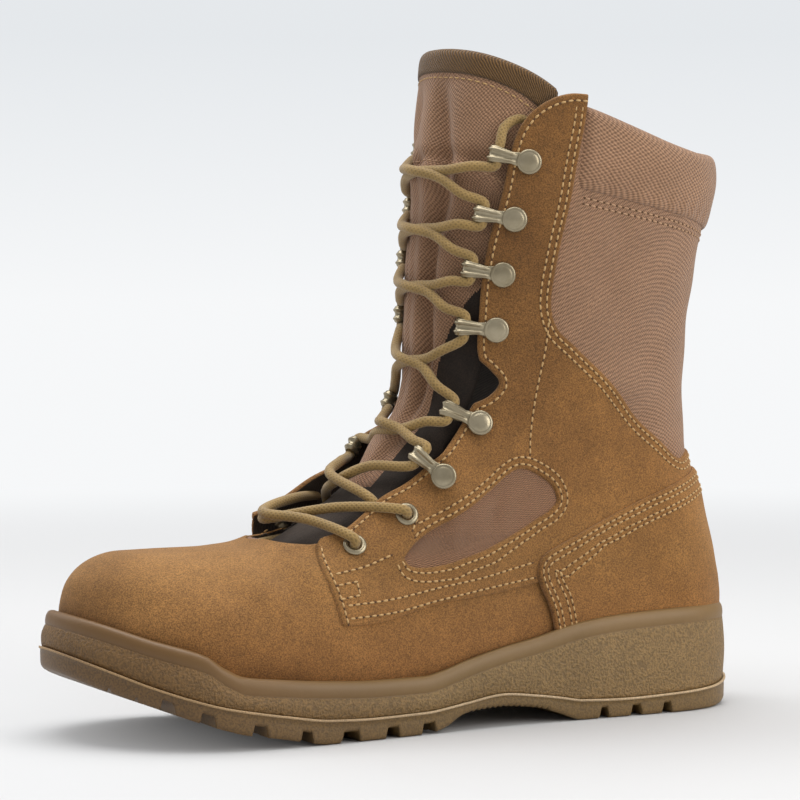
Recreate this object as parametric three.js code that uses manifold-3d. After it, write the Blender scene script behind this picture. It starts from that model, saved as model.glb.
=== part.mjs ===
// A left combat boot, standing empty on its sole.
// Frame: millimetres, +X towards the toe, +Y to the outer (lateral) side, +Z up.
// The origin is on the ground under the centre of the heel.
import * as THREE from "three";
import { mergeVertices } from "three/addons/utils/BufferGeometryUtils.js";
import Module from "manifold-3d";

const wasm = await Module();
wasm.setup();

// ---------- driving sizes ----------
const GAP = 0.3; // clearance between pieces that meet
const WALL = 2.6; // suede or nylon with its lining
const HEEL_BACK = -44; // rearmost point of the sole
const TOE_TIP = 267; // foremost point of the sole
const UPPER_TOE = 257.2; // foremost point of the upper
const HEEL_ROUND = 37; // length of the rounded back of the heel, in plan
const TOE_ROUND = 50; // length of the rounded toe, in plan
const WIDEST_Z = 36; // height of the forefoot's widest line above the ground
const SIDE_STEPS = 20; // steps along each side of a section of the upper
const UPPER_ROWS = [0, 0.8, 1.6, 2.3, 3, 4, 5, 6, 7, 8, 9, 10, 11.3, 12.6, 14, 16];
const SOLE_STEPS = 26; // steps along each side of the sole
const SOLE_HEEL_ROUND = 44; // length of the sole's rounded back, in plan
const SOLE_TOE_ROUND = 58; // length of the sole's rounded toe, in plan
const INSOLE_THICK = 4; // footbed
const LUG_DEPTH = 4; // depth of the grooves between the lugs
const COLLAR_SPAN = 0.286; // how far the padded collar reaches round from the back, in turns
const LACE_RADIUS = 2.2; // round braided lace
const EYELET_RADIUS = 4.9; // outer radius of an eyelet's rolled flange
const HOOK_DOME = 5; // radius of the rivet head of a lace hook

// Sections of the upper, from the sole to the top of the tongue. Each is a closed ring that
// runs from a point on the back seam to a point on the toe, the vamp or the front of the shaft.
const SECTIONS = [
  { name: "feather edge", backX: -38.5, backZ: 31, frontX: 255, frontZ: 36.8, sag: 1 },
  { name: "toe wall", backX: -40.3, backZ: 39, frontX: 257, frontZ: 49, sag: 0.75 },
  { name: "toe crown", backX: -40.8, backZ: 47, frontX: 256, frontZ: 61.5, sag: 0.5 },
  { name: "toe top", backX: -40.3, backZ: 55, frontX: 248.5, frontZ: 71.5, sag: 0.3 },
  { name: "toe cap back", backX: -38.6, backZ: 63, frontX: 233, frontZ: 76.3, sag: 0.12 },
  { name: "ball", backX: -36.5, backZ: 72, frontX: 211, frontZ: 76.6, sag: 0 },
  { name: "vamp", backX: -34.3, backZ: 81, frontX: 188, frontZ: 77.8, sag: 0 },
  { name: "throat base", backX: -31.8, backZ: 91, frontX: 165, frontZ: 86, sag: 0 },
  { name: "instep", backX: -29, backZ: 102, frontX: 144.5, frontZ: 98.5, sag: 0 },
  { name: "ankle bend", backX: -27, backZ: 115, frontX: 127.5, frontZ: 114, sag: 0 },
  { name: "ankle", backX: -26, backZ: 130, frontX: 114.5, frontZ: 131, sag: 0 },
  { name: "lower shaft", backX: -25.8, backZ: 147, frontX: 109.5, frontZ: 153, sag: 0 },
  { name: "mid shaft", backX: -27, backZ: 166, frontX: 108, frontZ: 177, sag: 0 },
  { name: "upper shaft", backX: -29.8, backZ: 186, frontX: 106.5, frontZ: 201, sag: 0 },
  { name: "collar seam", backX: -34, backZ: 206, frontX: 104, frontZ: 223, sag: 0 },
  { name: "mid collar", backX: -38.3, backZ: 226, frontX: 100.5, frontZ: 246, sag: 0 },
  { name: "collar top", backX: -40.3, backZ: 246, frontX: 98, frontZ: 268, sag: 0 },
  { name: "tongue top", backX: -41.5, backZ: 258, frontX: 96, frontZ: 282, sag: 0 },
];
const COLLAR_SEAM = 14; // row of the seam under the padded collar
const COLLAR_TOP = 16; // row of the collar's top edge

// Half-widths of the foot of the upper, measured from the boot's axis, and its ridge line.
const FOOT_PLAN = [
  { x: -36, lateral: 34, medial: 34, ridge: 0 },
  { x: 0, lateral: 34.5, medial: 34.5, ridge: 0 },
  { x: 40, lateral: 36, medial: 34, ridge: 0 },
  { x: 80, lateral: 38.5, medial: 34.5, ridge: 0 },
  { x: 120, lateral: 43, medial: 38, ridge: 0 },
  { x: 160, lateral: 47.5, medial: 44, ridge: -1.5 },
  { x: 190, lateral: 48.5, medial: 47, ridge: -3.5 },
  { x: 215, lateral: 47, medial: 48, ridge: -6 },
  { x: 240, lateral: 43, medial: 47.5, ridge: -8.5 },
  { x: 264, lateral: 36, medial: 45, ridge: -10.5 },
];
// Half-width of the shaft by height.
const SHAFT_WIDTH = [
  { z: 60, half: 36 },
  { z: 90, half: 36.5 },
  { z: 120, half: 39 },
  { z: 150, half: 42 },
  { z: 190, half: 45.5 },
  { z: 230, half: 48 },
  { z: 285, half: 49 },
];
// Plan of the sole, and the heights of its faces above the ground.
const SOLE_PLAN = [
  { x: -44, lateral: 38, medial: 38 },
  { x: 0, lateral: 40, medial: 40 },
  { x: 40, lateral: 41, medial: 39 },
  { x: 80, lateral: 42.5, medial: 38 },
  { x: 120, lateral: 47.5, medial: 41.5 },
  { x: 160, lateral: 53, medial: 48.5 },
  { x: 190, lateral: 55, medial: 53 },
  { x: 215, lateral: 53, medial: 54.5 },
  { x: 240, lateral: 48, medial: 53.5 },
  { x: 267, lateral: 40, medial: 50 },
];
const SOLE_HEIGHTS = [
  { x: -44, tread: 3, seam: 12.5, floor: 31, lip: 44.5 },
  { x: -36, tread: 1, seam: 11, floor: 31, lip: 44.8 },
  { x: -26, tread: 0, seam: 9.6, floor: 31, lip: 45 },
  { x: 0, tread: 0, seam: 8.4, floor: 30.5, lip: 44.5 },
  { x: 22, tread: 0, seam: 7.8, floor: 29.5, lip: 43.5 },
  { x: 45, tread: 0, seam: 8.6, floor: 28, lip: 41 },
  { x: 56, tread: 3.5, seam: 10.4, floor: 26.5, lip: 38.6 },
  { x: 67, tread: 6.4, seam: 12, floor: 25, lip: 35.9 },
  { x: 84, tread: 8, seam: 13.7, floor: 22, lip: 32.6 },
  { x: 102, tread: 7, seam: 11.6, floor: 19, lip: 28.4 },
  { x: 114, tread: 1.6, seam: 10, floor: 17.4, lip: 25 },
  { x: 122, tread: 0, seam: 9.2, floor: 16.6, lip: 23.6 },
  { x: 146, tread: 0, seam: 9, floor: 15.6, lip: 23.8 },
  { x: 168, tread: 0, seam: 9.8, floor: 15.6, lip: 25 },
  { x: 190, tread: 3.6, seam: 13, floor: 18, lip: 27 },
  { x: 205, tread: 6, seam: 15.6, floor: 20.2, lip: 28.8 },
  { x: 213, tread: 8.2, seam: 17.2, floor: 21.8, lip: 32.6 },
  { x: 220, tread: 10.4, seam: 19, floor: 23.6, lip: 37.6 },
  { x: 238, tread: 17.2, seam: 25, floor: 29.6, lip: 43.6 },
  { x: 254, tread: 23.6, seam: 32, floor: 36.4, lip: 49.6 },
  { x: 267, tread: 30, seam: 38, floor: 42.4, lip: 54 },
];

// The throat's edge on the side view, from the top of the facing down to the vamp.
const THROAT_EDGE = [
  { x: 56, z: 300 },
  { x: 58, z: 263 },
  { x: 63, z: 260.5 },
  { x: 69.7, z: 255.7 },
  { x: 75, z: 248.2 },
  { x: 78.5, z: 238 },
  { x: 81.7, z: 220.5 },
  { x: 87, z: 201 },
  { x: 89.5, z: 169 },
  { x: 89.5, z: 152.6 },
  { x: 85, z: 147 },
  { x: 81.5, z: 142.2 },
  { x: 86, z: 136.5 },
  { x: 92, z: 133.9 },
  { x: 110.5, z: 110.6 },
  { x: 132, z: 96 },
  { x: 150.6, z: 84.1 },
  { x: 163, z: 80.2 },
  { x: 176, z: 78.6 },
  { x: 184, z: 90 },
  { x: 190, z: 300 },
];
// Upper edge of the heel counter on the side view, from the heel to its front corner, and
// down to the midsole's lip.
const COUNTER_EDGE = [
  { x: -60, z: 108 },
  { x: -29, z: 104.5 },
  { x: -10.3, z: 98.9 },
  { x: 13, z: 91.3 },
  { x: 33.5, z: 83.1 },
  { x: 57.5, z: 73 },
  { x: 62.6, z: 70 },
  { x: 64.6, z: 66 },
  { x: 64.6, z: 60 },
  { x: 61.4, z: 53.5 },
  { x: 57.4, z: 43 },
  { x: 57, z: 30 },
  { x: -60, z: 30 },
];
// Lace hardware of one side, from the top down. (x, z) is the rivet or the eyelet's centre and
// (tipX, tipZ) the end of the hook's loop. `rise` is the rivet's height over the form, which
// grows over the hollow of the instep, and `tipRise` the loop's.
const HOOKS = [
  { x: 71.6, z: 233.7, rise: 0.3, tipX: 85.9, tipZ: 237.5, tipRise: 3 },
  { x: 77.3, z: 209.9, rise: 0.3, tipX: 92.2, tipZ: 212.7, tipRise: 3.2 },
  { x: 81.5, z: 187, rise: 0.3, tipX: 95.4, tipZ: 189.9, tipRise: 3.4 },
  { x: 83.6, z: 164.2, rise: 0.3, tipX: 98.2, tipZ: 165.8, tipRise: 3.6 },
  { x: 90.5, z: 125.4, rise: 0.9, tipX: 103.5, tipZ: 131.8, tipRise: 4 },
  { x: 108, z: 103.8, rise: 1.3, tipX: 116.5, tipZ: 112.8, tipRise: 5.5 },
];
const EYELETS = [
  { x: 125, z: 89 },
  { x: 149, z: 77.3 },
];
// Grooves between the side lugs: centre, width and slant across the sole.
const SIDE_GROOVES = [
  { x: 233, width: 5, slant: 9 },
  { x: 218.6, width: 5.5, slant: 7 },
  { x: 198.5, width: 6, slant: 4 },
  { x: 179, width: 5, slant: 1 },
  { x: 159.5, width: 8, slant: -2 },
  { x: 139.5, width: 6, slant: -5 },
  { x: 121.5, width: 6.5, slant: -7 },
  { x: 34, width: 4, slant: 5 },
  { x: 18, width: 5, slant: 2 },
  { x: 2.4, width: 4.4, slant: -3 },
];

// ---------- smooth curves through the tables ----------
// A smooth function through a table's rows that never overshoots them (monotone cubic).
function smooth(rows, from, to) {
  const xs = rows.map((row) => row[from]);
  const ys = rows.map((row) => row[to]);
  const slopes = xs.slice(1).map((x, i) => (ys[i + 1] - ys[i]) / (x - xs[i]));
  const tangents = xs.map((_, i) => {
    const before = slopes[Math.max(i - 1, 0)];
    const after = slopes[Math.min(i, slopes.length - 1)];
    return before * after <= 0 ? 0 : (2 * before * after) / (before + after);
  });
  return (x) => {
    const clamped = Math.min(Math.max(x, xs[0]), xs[xs.length - 1]);
    let i = 0;
    while (i < slopes.length - 1 && clamped > xs[i + 1]) i++;
    const step = xs[i + 1] - xs[i];
    const t = (clamped - xs[i]) / step;
    const bend = t * t * (3 - 2 * t);
    return (
      ys[i] * (1 - bend) +
      ys[i + 1] * bend +
      step * (tangents[i] * t * (1 - t) ** 2 - tangents[i + 1] * t * t * (1 - t))
    );
  };
}

const numbered = SECTIONS.map((section, row) => ({ ...section, row }));
const backX = smooth(numbered, "row", "backX");
const backZ = smooth(numbered, "row", "backZ");
const frontX = smooth(numbered, "row", "frontX");
const frontZ = smooth(numbered, "row", "frontZ");
const sagOf = smooth(numbered, "row", "sag");
const footLateral = smooth(FOOT_PLAN, "x", "lateral");
const footMedial = smooth(FOOT_PLAN, "x", "medial");
const ridgeY = smooth(FOOT_PLAN, "x", "ridge");
const shaftHalf = smooth(SHAFT_WIDTH, "z", "half");
const soleLateral = smooth(SOLE_PLAN, "x", "lateral");
const soleMedial = smooth(SOLE_PLAN, "x", "medial");
const treadZ = smooth(SOLE_HEIGHTS, "x", "tread");
const seamZ = smooth(SOLE_HEIGHTS, "x", "seam");
const floorZ = smooth(SOLE_HEIGHTS, "x", "floor");
const lipZ = smooth(SOLE_HEIGHTS, "x", "lip");

// The front outline seen from the side, as a dense polyline from the toe to the tongue's top,
// and the back outline. Both are read by height or by distance along the boot.
const PROFILE_STEPS = 400;
const lastRow = SECTIONS.length - 1;
const profile = Array.from({ length: PROFILE_STEPS + 1 }, (_, i) => {
  const row = (i / PROFILE_STEPS) * lastRow;
  return { frontX: frontX(row), frontZ: frontZ(row), backX: backX(row), backZ: backZ(row) };
});

// Reads the profile from its point `first` up: the value of `to` where `from` equals the number given.
function reader(from, to, first = 0) {
  const rows = profile.slice(first).sort((a, b) => a[from] - b[from]);
  return (value) => {
    if (value <= rows[0][from]) return rows[0][to];
    if (value >= rows[rows.length - 1][from]) return rows[rows.length - 1][to];
    let low = 0;
    let high = rows.length - 1;
    while (high - low > 1) {
      const middle = (low + high) >> 1;
      if (rows[middle][from] <= value) low = middle;
      else high = middle;
    }
    const span = rows[high][from] - rows[low][from];
    const t = span > 1e-9 ? (value - rows[low][from]) / span : 0;
    return rows[low][to] + (rows[high][to] - rows[low][to]) * t;
  };
}
const foremost = profile.reduce((best, row, i) => (row.frontX > profile[best].frontX ? i : best), 0);
const topZAt = reader("frontX", "frontZ", foremost);
const frontXAt = reader("frontZ", "frontX");
const backXAt = reader("backZ", "backX");

// A quarter of a rounded end: 0 at the end itself, 1 a full `length` inside it.
const rounded = (inside, length, power) =>
  (1 - (1 - Math.min(Math.max(inside / length, 0), 1)) ** power) ** (1 / power);
const easeBetween = (value, low, high) => {
  const t = Math.min(Math.max((value - low) / (high - low), 0), 1);
  return t * t * (3 - 2 * t);
};

// ---------- the last: one function for the whole upper ----------
// Distance of the upper's wall from its ridge line, at a point (x, z) of the side view.
function halfWidth(x, z, lateral) {
  const ridge = ridgeY(x);
  const plan = lateral ? footLateral(x) - ridge : footMedial(x) + ridge;
  const toe = rounded(UPPER_TOE - x, TOE_ROUND, 2.3);
  const heel = rounded(x - backXAt(z), HEEL_ROUND, 2.15);
  const rise = Math.min(Math.max((z - WIDEST_Z) / (topZAt(x) - WIDEST_Z), 0), 1);
  const arch = Math.sqrt(Math.max(1 - rise ** 2.3, 0));
  const tuck = 1 - 0.05 * easeBetween(WIDEST_Z - z, 0, 22);
  const foot = plan * toe * heel * arch * tuck;
  const length = frontXAt(z) - backXAt(z);
  const along = Math.min(Math.max((x - backXAt(z)) / length, 0), 1);
  const oval = Math.sqrt(Math.max(1 - Math.abs(2 * along - 1) ** 2.25, 0));
  const shaft = (shaftHalf(z) + (lateral ? -ridge : ridge)) * oval;
  const share = easeBetween(z, 84, 142);
  return foot * (1 - share) + shaft * share;
}

// A point of the upper's outer face. row runs up the sections; turn runs round one of them:
// 0 at the back seam, a quarter on the lateral side, a half at the front, then the medial side.
function faceOfUpper(row, turn) {
  const angle = turn * 2 * Math.PI;
  const along = (1 - Math.cos(angle)) / 2;
  const x = backX(row) + (frontX(row) - backX(row)) * along;
  const chord = backZ(row) + (frontZ(row) - backZ(row)) * along;
  const firstChord = backZ(0) + (frontZ(0) - backZ(0)) * along;
  const z = chord + sagOf(row) * (floorZ(x) - firstChord);
  const lateral = Math.sin(angle) >= 0;
  const half = Math.abs(Math.sin(angle)) < 1e-9 ? 0 : halfWidth(x, z, lateral);
  return new THREE.Vector3(x, ridgeY(x) + (lateral ? half : -half), z);
}

// The same point moved `out` millimetres along the outward normal.
function upperPoint(row, turn, out = 0) {
  const point = faceOfUpper(row, turn);
  if (out === 0) return point;
  const step = 0.02;
  const low = Math.max(row - step * 4, 0);
  const high = Math.min(row + step * 4, lastRow);
  const up = faceOfUpper(high, turn).sub(faceOfUpper(low, turn));
  const round = faceOfUpper(row, turn + step / 4).sub(faceOfUpper(row, turn - step / 4));
  return point.addScaledVector(up.cross(round).normalize(), out);
}

// A point of the outer face given on the side view, moved `out` millimetres outwards.
function sidePoint(x, z, lateral, out = 0) {
  const at = (px, pz) => {
    const half = halfWidth(px, pz, lateral);
    return new THREE.Vector3(px, ridgeY(px) + (lateral ? half : -half), pz);
  };
  const step = 0.4;
  const along = at(x + step, z).sub(at(x - step, z));
  const up = at(x, z + step).sub(at(x, z - step));
  const normal = along.cross(up).normalize();
  if (lateral) normal.negate();
  return { point: at(x, z).addScaledVector(normal, out), normal };
}

// ---------- solids ----------
const solidFrom = (points, triangles) => {
  const geometry = new THREE.BufferGeometry();
  const flat = points.flatMap((point) => [point.x, point.y, point.z]);
  geometry.setAttribute("position", new THREE.Float32BufferAttribute(flat, 3));
  geometry.setIndex(triangles);
  const merged = mergeVertices(geometry, 1e-4);
  const position = merged.getAttribute("position");
  return new wasm.Manifold(
    new wasm.Mesh({
      numProp: 3,
      vertProperties: Float32Array.from(position.array),
      triVerts: Uint32Array.from(merged.getIndex().array),
    }),
  );
};

// A closed solid through a stack of rings with equal numbers of points. Each ring starts at the
// back, runs along the lateral side to the front and returns along the medial side. The ends
// are closed straight across, point to opposite point.
function stack(rings) {
  const count = rings[0].length;
  const points = rings.flat();
  const triangles = [];
  for (let r = 0; r < rings.length - 1; r++) {
    for (let i = 0; i < count; i++) {
      const next = (i + 1) % count;
      const [a, b, c, d] = [r * count + i, r * count + next, (r + 1) * count + next, (r + 1) * count + i];
      triangles.push(a, c, b, a, d, c);
    }
  }
  for (const [start, flip] of [[0, false], [(rings.length - 1) * count, true]]) {
    for (let i = 0; i < count / 2; i++) {
      const [a, b] = [start + i, start + i + 1];
      const [c, d] = [start + ((count - i - 1) % count), start + ((count - i) % count)];
      for (const t of [[a, b, c], [a, c, d]]) {
        if (new Set(t).size === 3) triangles.push(...(flip ? [t[0], t[2], t[1]] : t));
      }
    }
  }
  return solidFrom(points, triangles);
}

// A closed slab between two grids of points, outer and inner, of equal size.
function slab(outer, inner) {
  const rows = outer.length;
  const columns = outer[0].length;
  const points = [...outer.flat(), ...inner.flat()];
  const below = rows * columns;
  const triangles = [];
  const quad = (a, b, c, d) => triangles.push(a, b, c, a, c, d);
  for (let r = 0; r < rows - 1; r++) {
    for (let i = 0; i < columns - 1; i++) {
      const a = r * columns + i;
      quad(a, a + columns, a + columns + 1, a + 1);
      quad(below + a, below + a + 1, below + a + columns + 1, below + a + columns);
    }
  }
  for (let i = 0; i < columns - 1; i++) {
    quad(i, i + 1, below + i + 1, below + i);
    const a = (rows - 1) * columns + i;
    quad(a + 1, a, below + a, below + a + 1);
  }
  for (let r = 0; r < rows - 1; r++) {
    const a = r * columns;
    quad(a + columns, a, below + a, below + a + columns);
    const b = a + columns - 1;
    quad(b, b + columns, below + b + columns, below + b);
  }
  return solidFrom(points, triangles);
}

const TURNS = Array.from({ length: 2 * SIDE_STEPS }, (_, i) => i / (2 * SIDE_STEPS));
const ringOfUpper = (row, out = 0, rise = 0) =>
  TURNS.map((turn) => upperPoint(row, turn, out).add(new THREE.Vector3(0, 0, rise)));
// The upper's form grown or shrunk by `out`, carried on `below` under it and `above` over it.
function form(rows, out, below = 0, above = 0) {
  const rings = rows.map((row) => ringOfUpper(row, out));
  if (below > 0) rings.unshift(ringOfUpper(rows[0], out, -below));
  if (above > 0) rings.push(ringOfUpper(rows[rows.length - 1], out, above));
  return stack(rings);
}

// A prism across the boot, cut to an outline drawn on the side view.
function acrossBoot(outline, reach = 90) {
  const shape = new THREE.Shape(outline.map((corner) => new THREE.Vector2(corner.x, corner.z)));
  const geometry = new THREE.ExtrudeGeometry(shape, { depth: 2 * reach, bevelEnabled: false });
  geometry.rotateX(Math.PI / 2);
  geometry.translate(0, reach, 0);
  return fromGeometry(geometry);
}

function fromGeometry(geometry) {
  geometry.deleteAttribute("normal");
  geometry.deleteAttribute("uv");
  const merged = mergeVertices(geometry, 1e-4);
  return new wasm.Manifold(
    new wasm.Mesh({
      numProp: 3,
      vertProperties: Float32Array.from(merged.getAttribute("position").array),
      triVerts: Uint32Array.from(merged.getIndex().array),
    }),
  );
}

// ---------- sole ----------
// A level of the sole: its plan drawn in by `inset`, at a height that follows the length.
function soleRing(inset, height) {
  const back = HEEL_BACK + inset;
  const front = TOE_TIP - inset;
  return Array.from({ length: 2 * SOLE_STEPS }, (_, i) => {
    const angle = (i / (2 * SOLE_STEPS)) * 2 * Math.PI;
    const x = back + ((front - back) * (1 - Math.cos(angle))) / 2;
    const lateral = i <= SOLE_STEPS;
    const ridge = ridgeY(x);
    const plan = lateral ? soleLateral(x) - ridge : soleMedial(x) + ridge;
    const ends = rounded(x - back, SOLE_HEEL_ROUND, 2.3) * rounded(front - x, SOLE_TOE_ROUND, 2.2);
    const half = i % SOLE_STEPS === 0 ? 0 : (plan - inset) * ends;
    return new THREE.Vector3(x, ridge + (lateral ? half : -half), height(x));
  });
}

const UNDER = -30; // safely below the ground
const outsoleBlock = stack([
  soleRing(1.2, treadZ),
  soleRing(0.1, (x) => treadZ(x) + 1.6),
  soleRing(0, (x) => seamZ(x) - 0.6),
  soleRing(0.5, seamZ),
]);
const grooveRoof = stack([
  soleRing(-4, () => UNDER),
  soleRing(-4, (x) => treadZ(x) + LUG_DEPTH),
]);
// Side grooves run in from each edge, two long channels part the side lugs from the middle
// ones, and short cross grooves part the middle lugs.
function grooves() {
  const boxes = [];
  const groove = (x, y, length, width, degrees) =>
    wasm.Manifold.cube([length, width, 60], true).rotate([0, 0, degrees]).translate([x, y, UNDER + 25]);
  for (const { x, width, slant } of SIDE_GROOVES) {
    const edge = x > 60 ? 19 : 15;
    boxes.push(groove(x, ridgeY(x) + edge + 25, width, 50, -slant));
    boxes.push(groove(x, ridgeY(x) - edge - 25, width, 50, slant));
  }
  for (const side of [1, -1]) {
    boxes.push(groove(175, -2.5 + side * 18.5, 124, 4.4, -3.4));
    boxes.push(groove(22, side * 15, 54, 4, 0));
  }
  for (const x of [228, 208, 188.5, 169.5, 149.5, 130.5]) {
    boxes.push(groove(x, ridgeY(x), 4.2, 36, 0));
  }
  for (const x of [43, 26, 10]) boxes.push(groove(x, 0, 4, 30, 0));
  return wasm.Manifold.union(boxes);
}
const outsole = outsoleBlock.subtract(grooves().intersect(grooveRoof));

const midsoleBlock = stack([
  soleRing(0.5, (x) => seamZ(x) + GAP),
  soleRing(0, (x) => seamZ(x) + GAP + 0.6),
  soleRing(0.2, (x) => lipZ(x) - 3.4),
  soleRing(0.9, (x) => lipZ(x) - 1.2),
  soleRing(2.1, (x) => lipZ(x) - 0.2),
  soleRing(3.4, lipZ),
]);
const midsole = midsoleBlock.subtract(form([0, 0.8, 1.6, 2.3, 3, 4], GAP, GAP));

const insole = stack([
  ringOfUpper(0, -WALL - GAP),
  ringOfUpper(0, -WALL - GAP - 0.8, INSOLE_THICK * 0.7),
  ringOfUpper(0, -WALL - GAP - 2.6, INSOLE_THICK),
]);

// ---------- upper ----------
const span = (low, high, steps) =>
  Array.from({ length: steps + 1 }, (_, i) => low + ((high - low) * i) / steps);
const patch = (rows, turns, outer, inner) =>
  slab(
    rows.map((row) => turns.map((turn) => upperPoint(row, turn, outer))),
    rows.map((row) => turns.map((turn) => upperPoint(row, turn, inner))),
  );
const seatTurns = span(-COLLAR_SPAN - 0.002, COLLAR_SPAN + 0.002, 24);
const collarSeat = patch([COLLAR_SEAM, 15, 16, 17], seatTurns, 6, -9);
const throat = acrossBoot(THROAT_EDGE);

const EYELET_HOLE = 3.9; // clearance hole in the facing
function eyeletHole({ x, z }, lateral) {
  const { point, normal } = sidePoint(x, z, lateral);
  const hole = new THREE.CylinderGeometry(EYELET_HOLE, EYELET_HOLE, 14, 12);
  return fromGeometry(placed(hole, point, normal));
}
// Stands a geometry built along +Y on a point, with +Y along the normal given. `ahead`, when
// given, is the direction its +X should lean to.
function placed(geometry, point, normal, ahead = new THREE.Vector3(1, 0, 0)) {
  const across = new THREE.Vector3().crossVectors(ahead, normal).normalize();
  const forward = new THREE.Vector3().crossVectors(normal, across).normalize();
  const frame = new THREE.Matrix4().makeBasis(forward, normal, across).setPosition(point);
  return geometry.applyMatrix4(frame);
}
const SIDES = [
  { side: "lateral", lateral: true },
  { side: "medial", lateral: false },
];
const eyeletHoles = wasm.Manifold.union(
  EYELETS.flatMap((eyelet) => SIDES.map(({ lateral }) => eyeletHole(eyelet, lateral))),
);
const upper = form(UPPER_ROWS, 0)
  .subtract(form(UPPER_ROWS, -WALL, 8, 8))
  .subtract(collarSeat)
  .subtract(throat)
  .subtract(eyeletHoles);

// The padded collar: a rounded band from the seam to the top edge, open at the facings.
const COLLAR_PROFILE = [
  { row: COLLAR_SEAM + 0.03, out: -0.2 },
  { row: COLLAR_SEAM + 0.3, out: 1 },
  { row: COLLAR_SEAM + 1, out: 1.6 },
  { row: COLLAR_TOP - 0.35, out: 1 },
  { row: COLLAR_TOP + 0.05, out: -1.8 },
  { row: COLLAR_TOP + 0.05, out: -4.2 },
  { row: COLLAR_TOP - 0.4, out: -6.6 },
  { row: COLLAR_SEAM + 0.9, out: -7 },
  { row: COLLAR_SEAM + 0.2, out: -5 },
  { row: COLLAR_SEAM + 0.03, out: -2.4 },
];
function band(profile, turns) {
  const points = turns.flatMap((turn) => profile.map(({ row, out }) => upperPoint(row, turn, out)));
  const count = profile.length;
  const triangles = [];
  for (let r = 0; r < turns.length - 1; r++) {
    for (let i = 0; i < count; i++) {
      const next = (i + 1) % count;
      const [a, b] = [r * count + i, r * count + next];
      triangles.push(a, b + count, a + count, a, b, b + count);
    }
  }
  const last = (turns.length - 1) * count;
  for (let i = 1; i < count - 1; i++) {
    triangles.push(0, i + 1, i, last, last + i, last + i + 1);
  }
  return solidFrom(points, triangles);
}
const collar = band(COLLAR_PROFILE, span(-COLLAR_SPAN, COLLAR_SPAN, 20));

// The heel counter stands proud of the upper between two larger forms.
const COUNTER_THICK = 1.5;
const COUNTER_ROWS = [0.8, 1.6, 2.3, 3, 4, 5, 6, 7, 8, 9];
const aboveLip = stack([
  soleRing(-20, (x) => lipZ(x) + GAP + 0.2),
  soleRing(-20, () => 200),
]);
const heelCounter = form(COUNTER_ROWS, GAP + COUNTER_THICK, 8)
  .subtract(form(COUNTER_ROWS, GAP, 16, 8))
  .intersect(acrossBoot(COUNTER_EDGE))
  .intersect(aboveLip);

// ---------- tongue ----------
const TONGUE_BASE = 6.3; // row where the tongue starts, under the vamp
const TONGUE_THICK = 5.4; // padded
const TONGUE_STEPS = 12;
const TONGUE_ROWS = 14;
const tongueTurns = span(-1, 1, TONGUE_STEPS);
function tonguePoint(v, s, inner) {
  const top = lastRow - 0.9 * Math.abs(s) ** 3;
  const row = TONGUE_BASE + (top - TONGUE_BASE) * v;
  const reach = 0.105 + 0.075 * easeBetween(row, 7, lastRow);
  const open = easeBetween(row, 8.5, 11.5);
  const swell = 1 - easeBetween(Math.abs(s), 0.1 + 0.3 * open, 0.34 + 0.36 * open);
  const lift = easeBetween(row, 7.8, 9.6) * swell;
  const under = -WALL - GAP - 0.2 - 0.9 * (1 - easeBetween(row, 10.5, 12));
  const outer = under + lift * (-0.5 - under);
  const edge = easeBetween(1 - Math.abs(s), 0, 0.16) * easeBetween(1 - v, 0, 0.035);
  const thick = 1.6 + (TONGUE_THICK - 1.6) * edge * easeBetween(row, TONGUE_BASE, 8);
  const rim = (1 - easeBetween(1 - v, 0, 0.03)) * 0.9;
  return upperPoint(row, 0.5 + reach * s, inner ? outer - thick : outer - rim);
}
const rowShare = (v) => 1 - (1 - v) ** 1.25; // rows lie closer together towards the top edge
const tongueGrid = (inner) =>
  span(0, 1, TONGUE_ROWS).map((v) => tongueTurns.map((s) => tonguePoint(rowShare(v), s, inner)));
const tongue = slab(tongueGrid(false), tongueGrid(true));

// ---------- lace hardware ----------
// A rolled eyelet: a barrel through the facing with a flange on its outer face.
function eyelet({ x, z }, lateral) {
  const { point, normal } = sidePoint(x, z, lateral);
  const bore = 2.55;
  const seat = GAP + 1.1; // underside of the flange, clear of the hollow of the instep
  const skin = EYELET_HOLE - 1.5 * GAP;
  const profile = [
    [bore, -WALL],
    [skin, -WALL],
    [skin, seat],
    [EYELET_RADIUS, seat],
    [EYELET_RADIUS - 0.5, seat + 0.6],
    [3.8, seat + 1],
    [bore, seat + 0.5],
    [bore, -WALL],
  ].map(([radius, height]) => new THREE.Vector2(radius, height));
  return placed(new THREE.LatheGeometry(profile, 12), point, normal);
}

// A lace hook seen from the side: the strap leaves the rivet, rises a little and folds back
// under itself round the lace. `ahead` runs from the rivet to the loop, `out` off the facing.
const HOOK_PROFILE = [
  { ahead: -3.4, out: 0 },
  { ahead: 7.6, out: 0 },
  { ahead: 9.4, out: -1.7 },
  { ahead: 12.6, out: -3.4 },
  { ahead: 15.6, out: -3.2 },
  { ahead: 17, out: -1 },
  { ahead: 15.8, out: 1.5 },
  { ahead: -3.4, out: 1.1 },
];
const HOOK_EYE = [
  { ahead: 10.2, out: -0.6 },
  { ahead: 12.8, out: -2.2 },
  { ahead: 15, out: -2.1 },
  { ahead: 15.8, out: -0.9 },
  { ahead: 14.8, out: 0.4 },
  { ahead: 10.6, out: 0.4 },
];
const HOOK_PLAN = [
  { ahead: -4, half: 2.9 },
  { ahead: 3.4, half: 3.2 },
  { ahead: 7.4, half: 1.9 },
  { ahead: 14, half: 4.2 },
  { ahead: 18, half: 4.4 },
];
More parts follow.
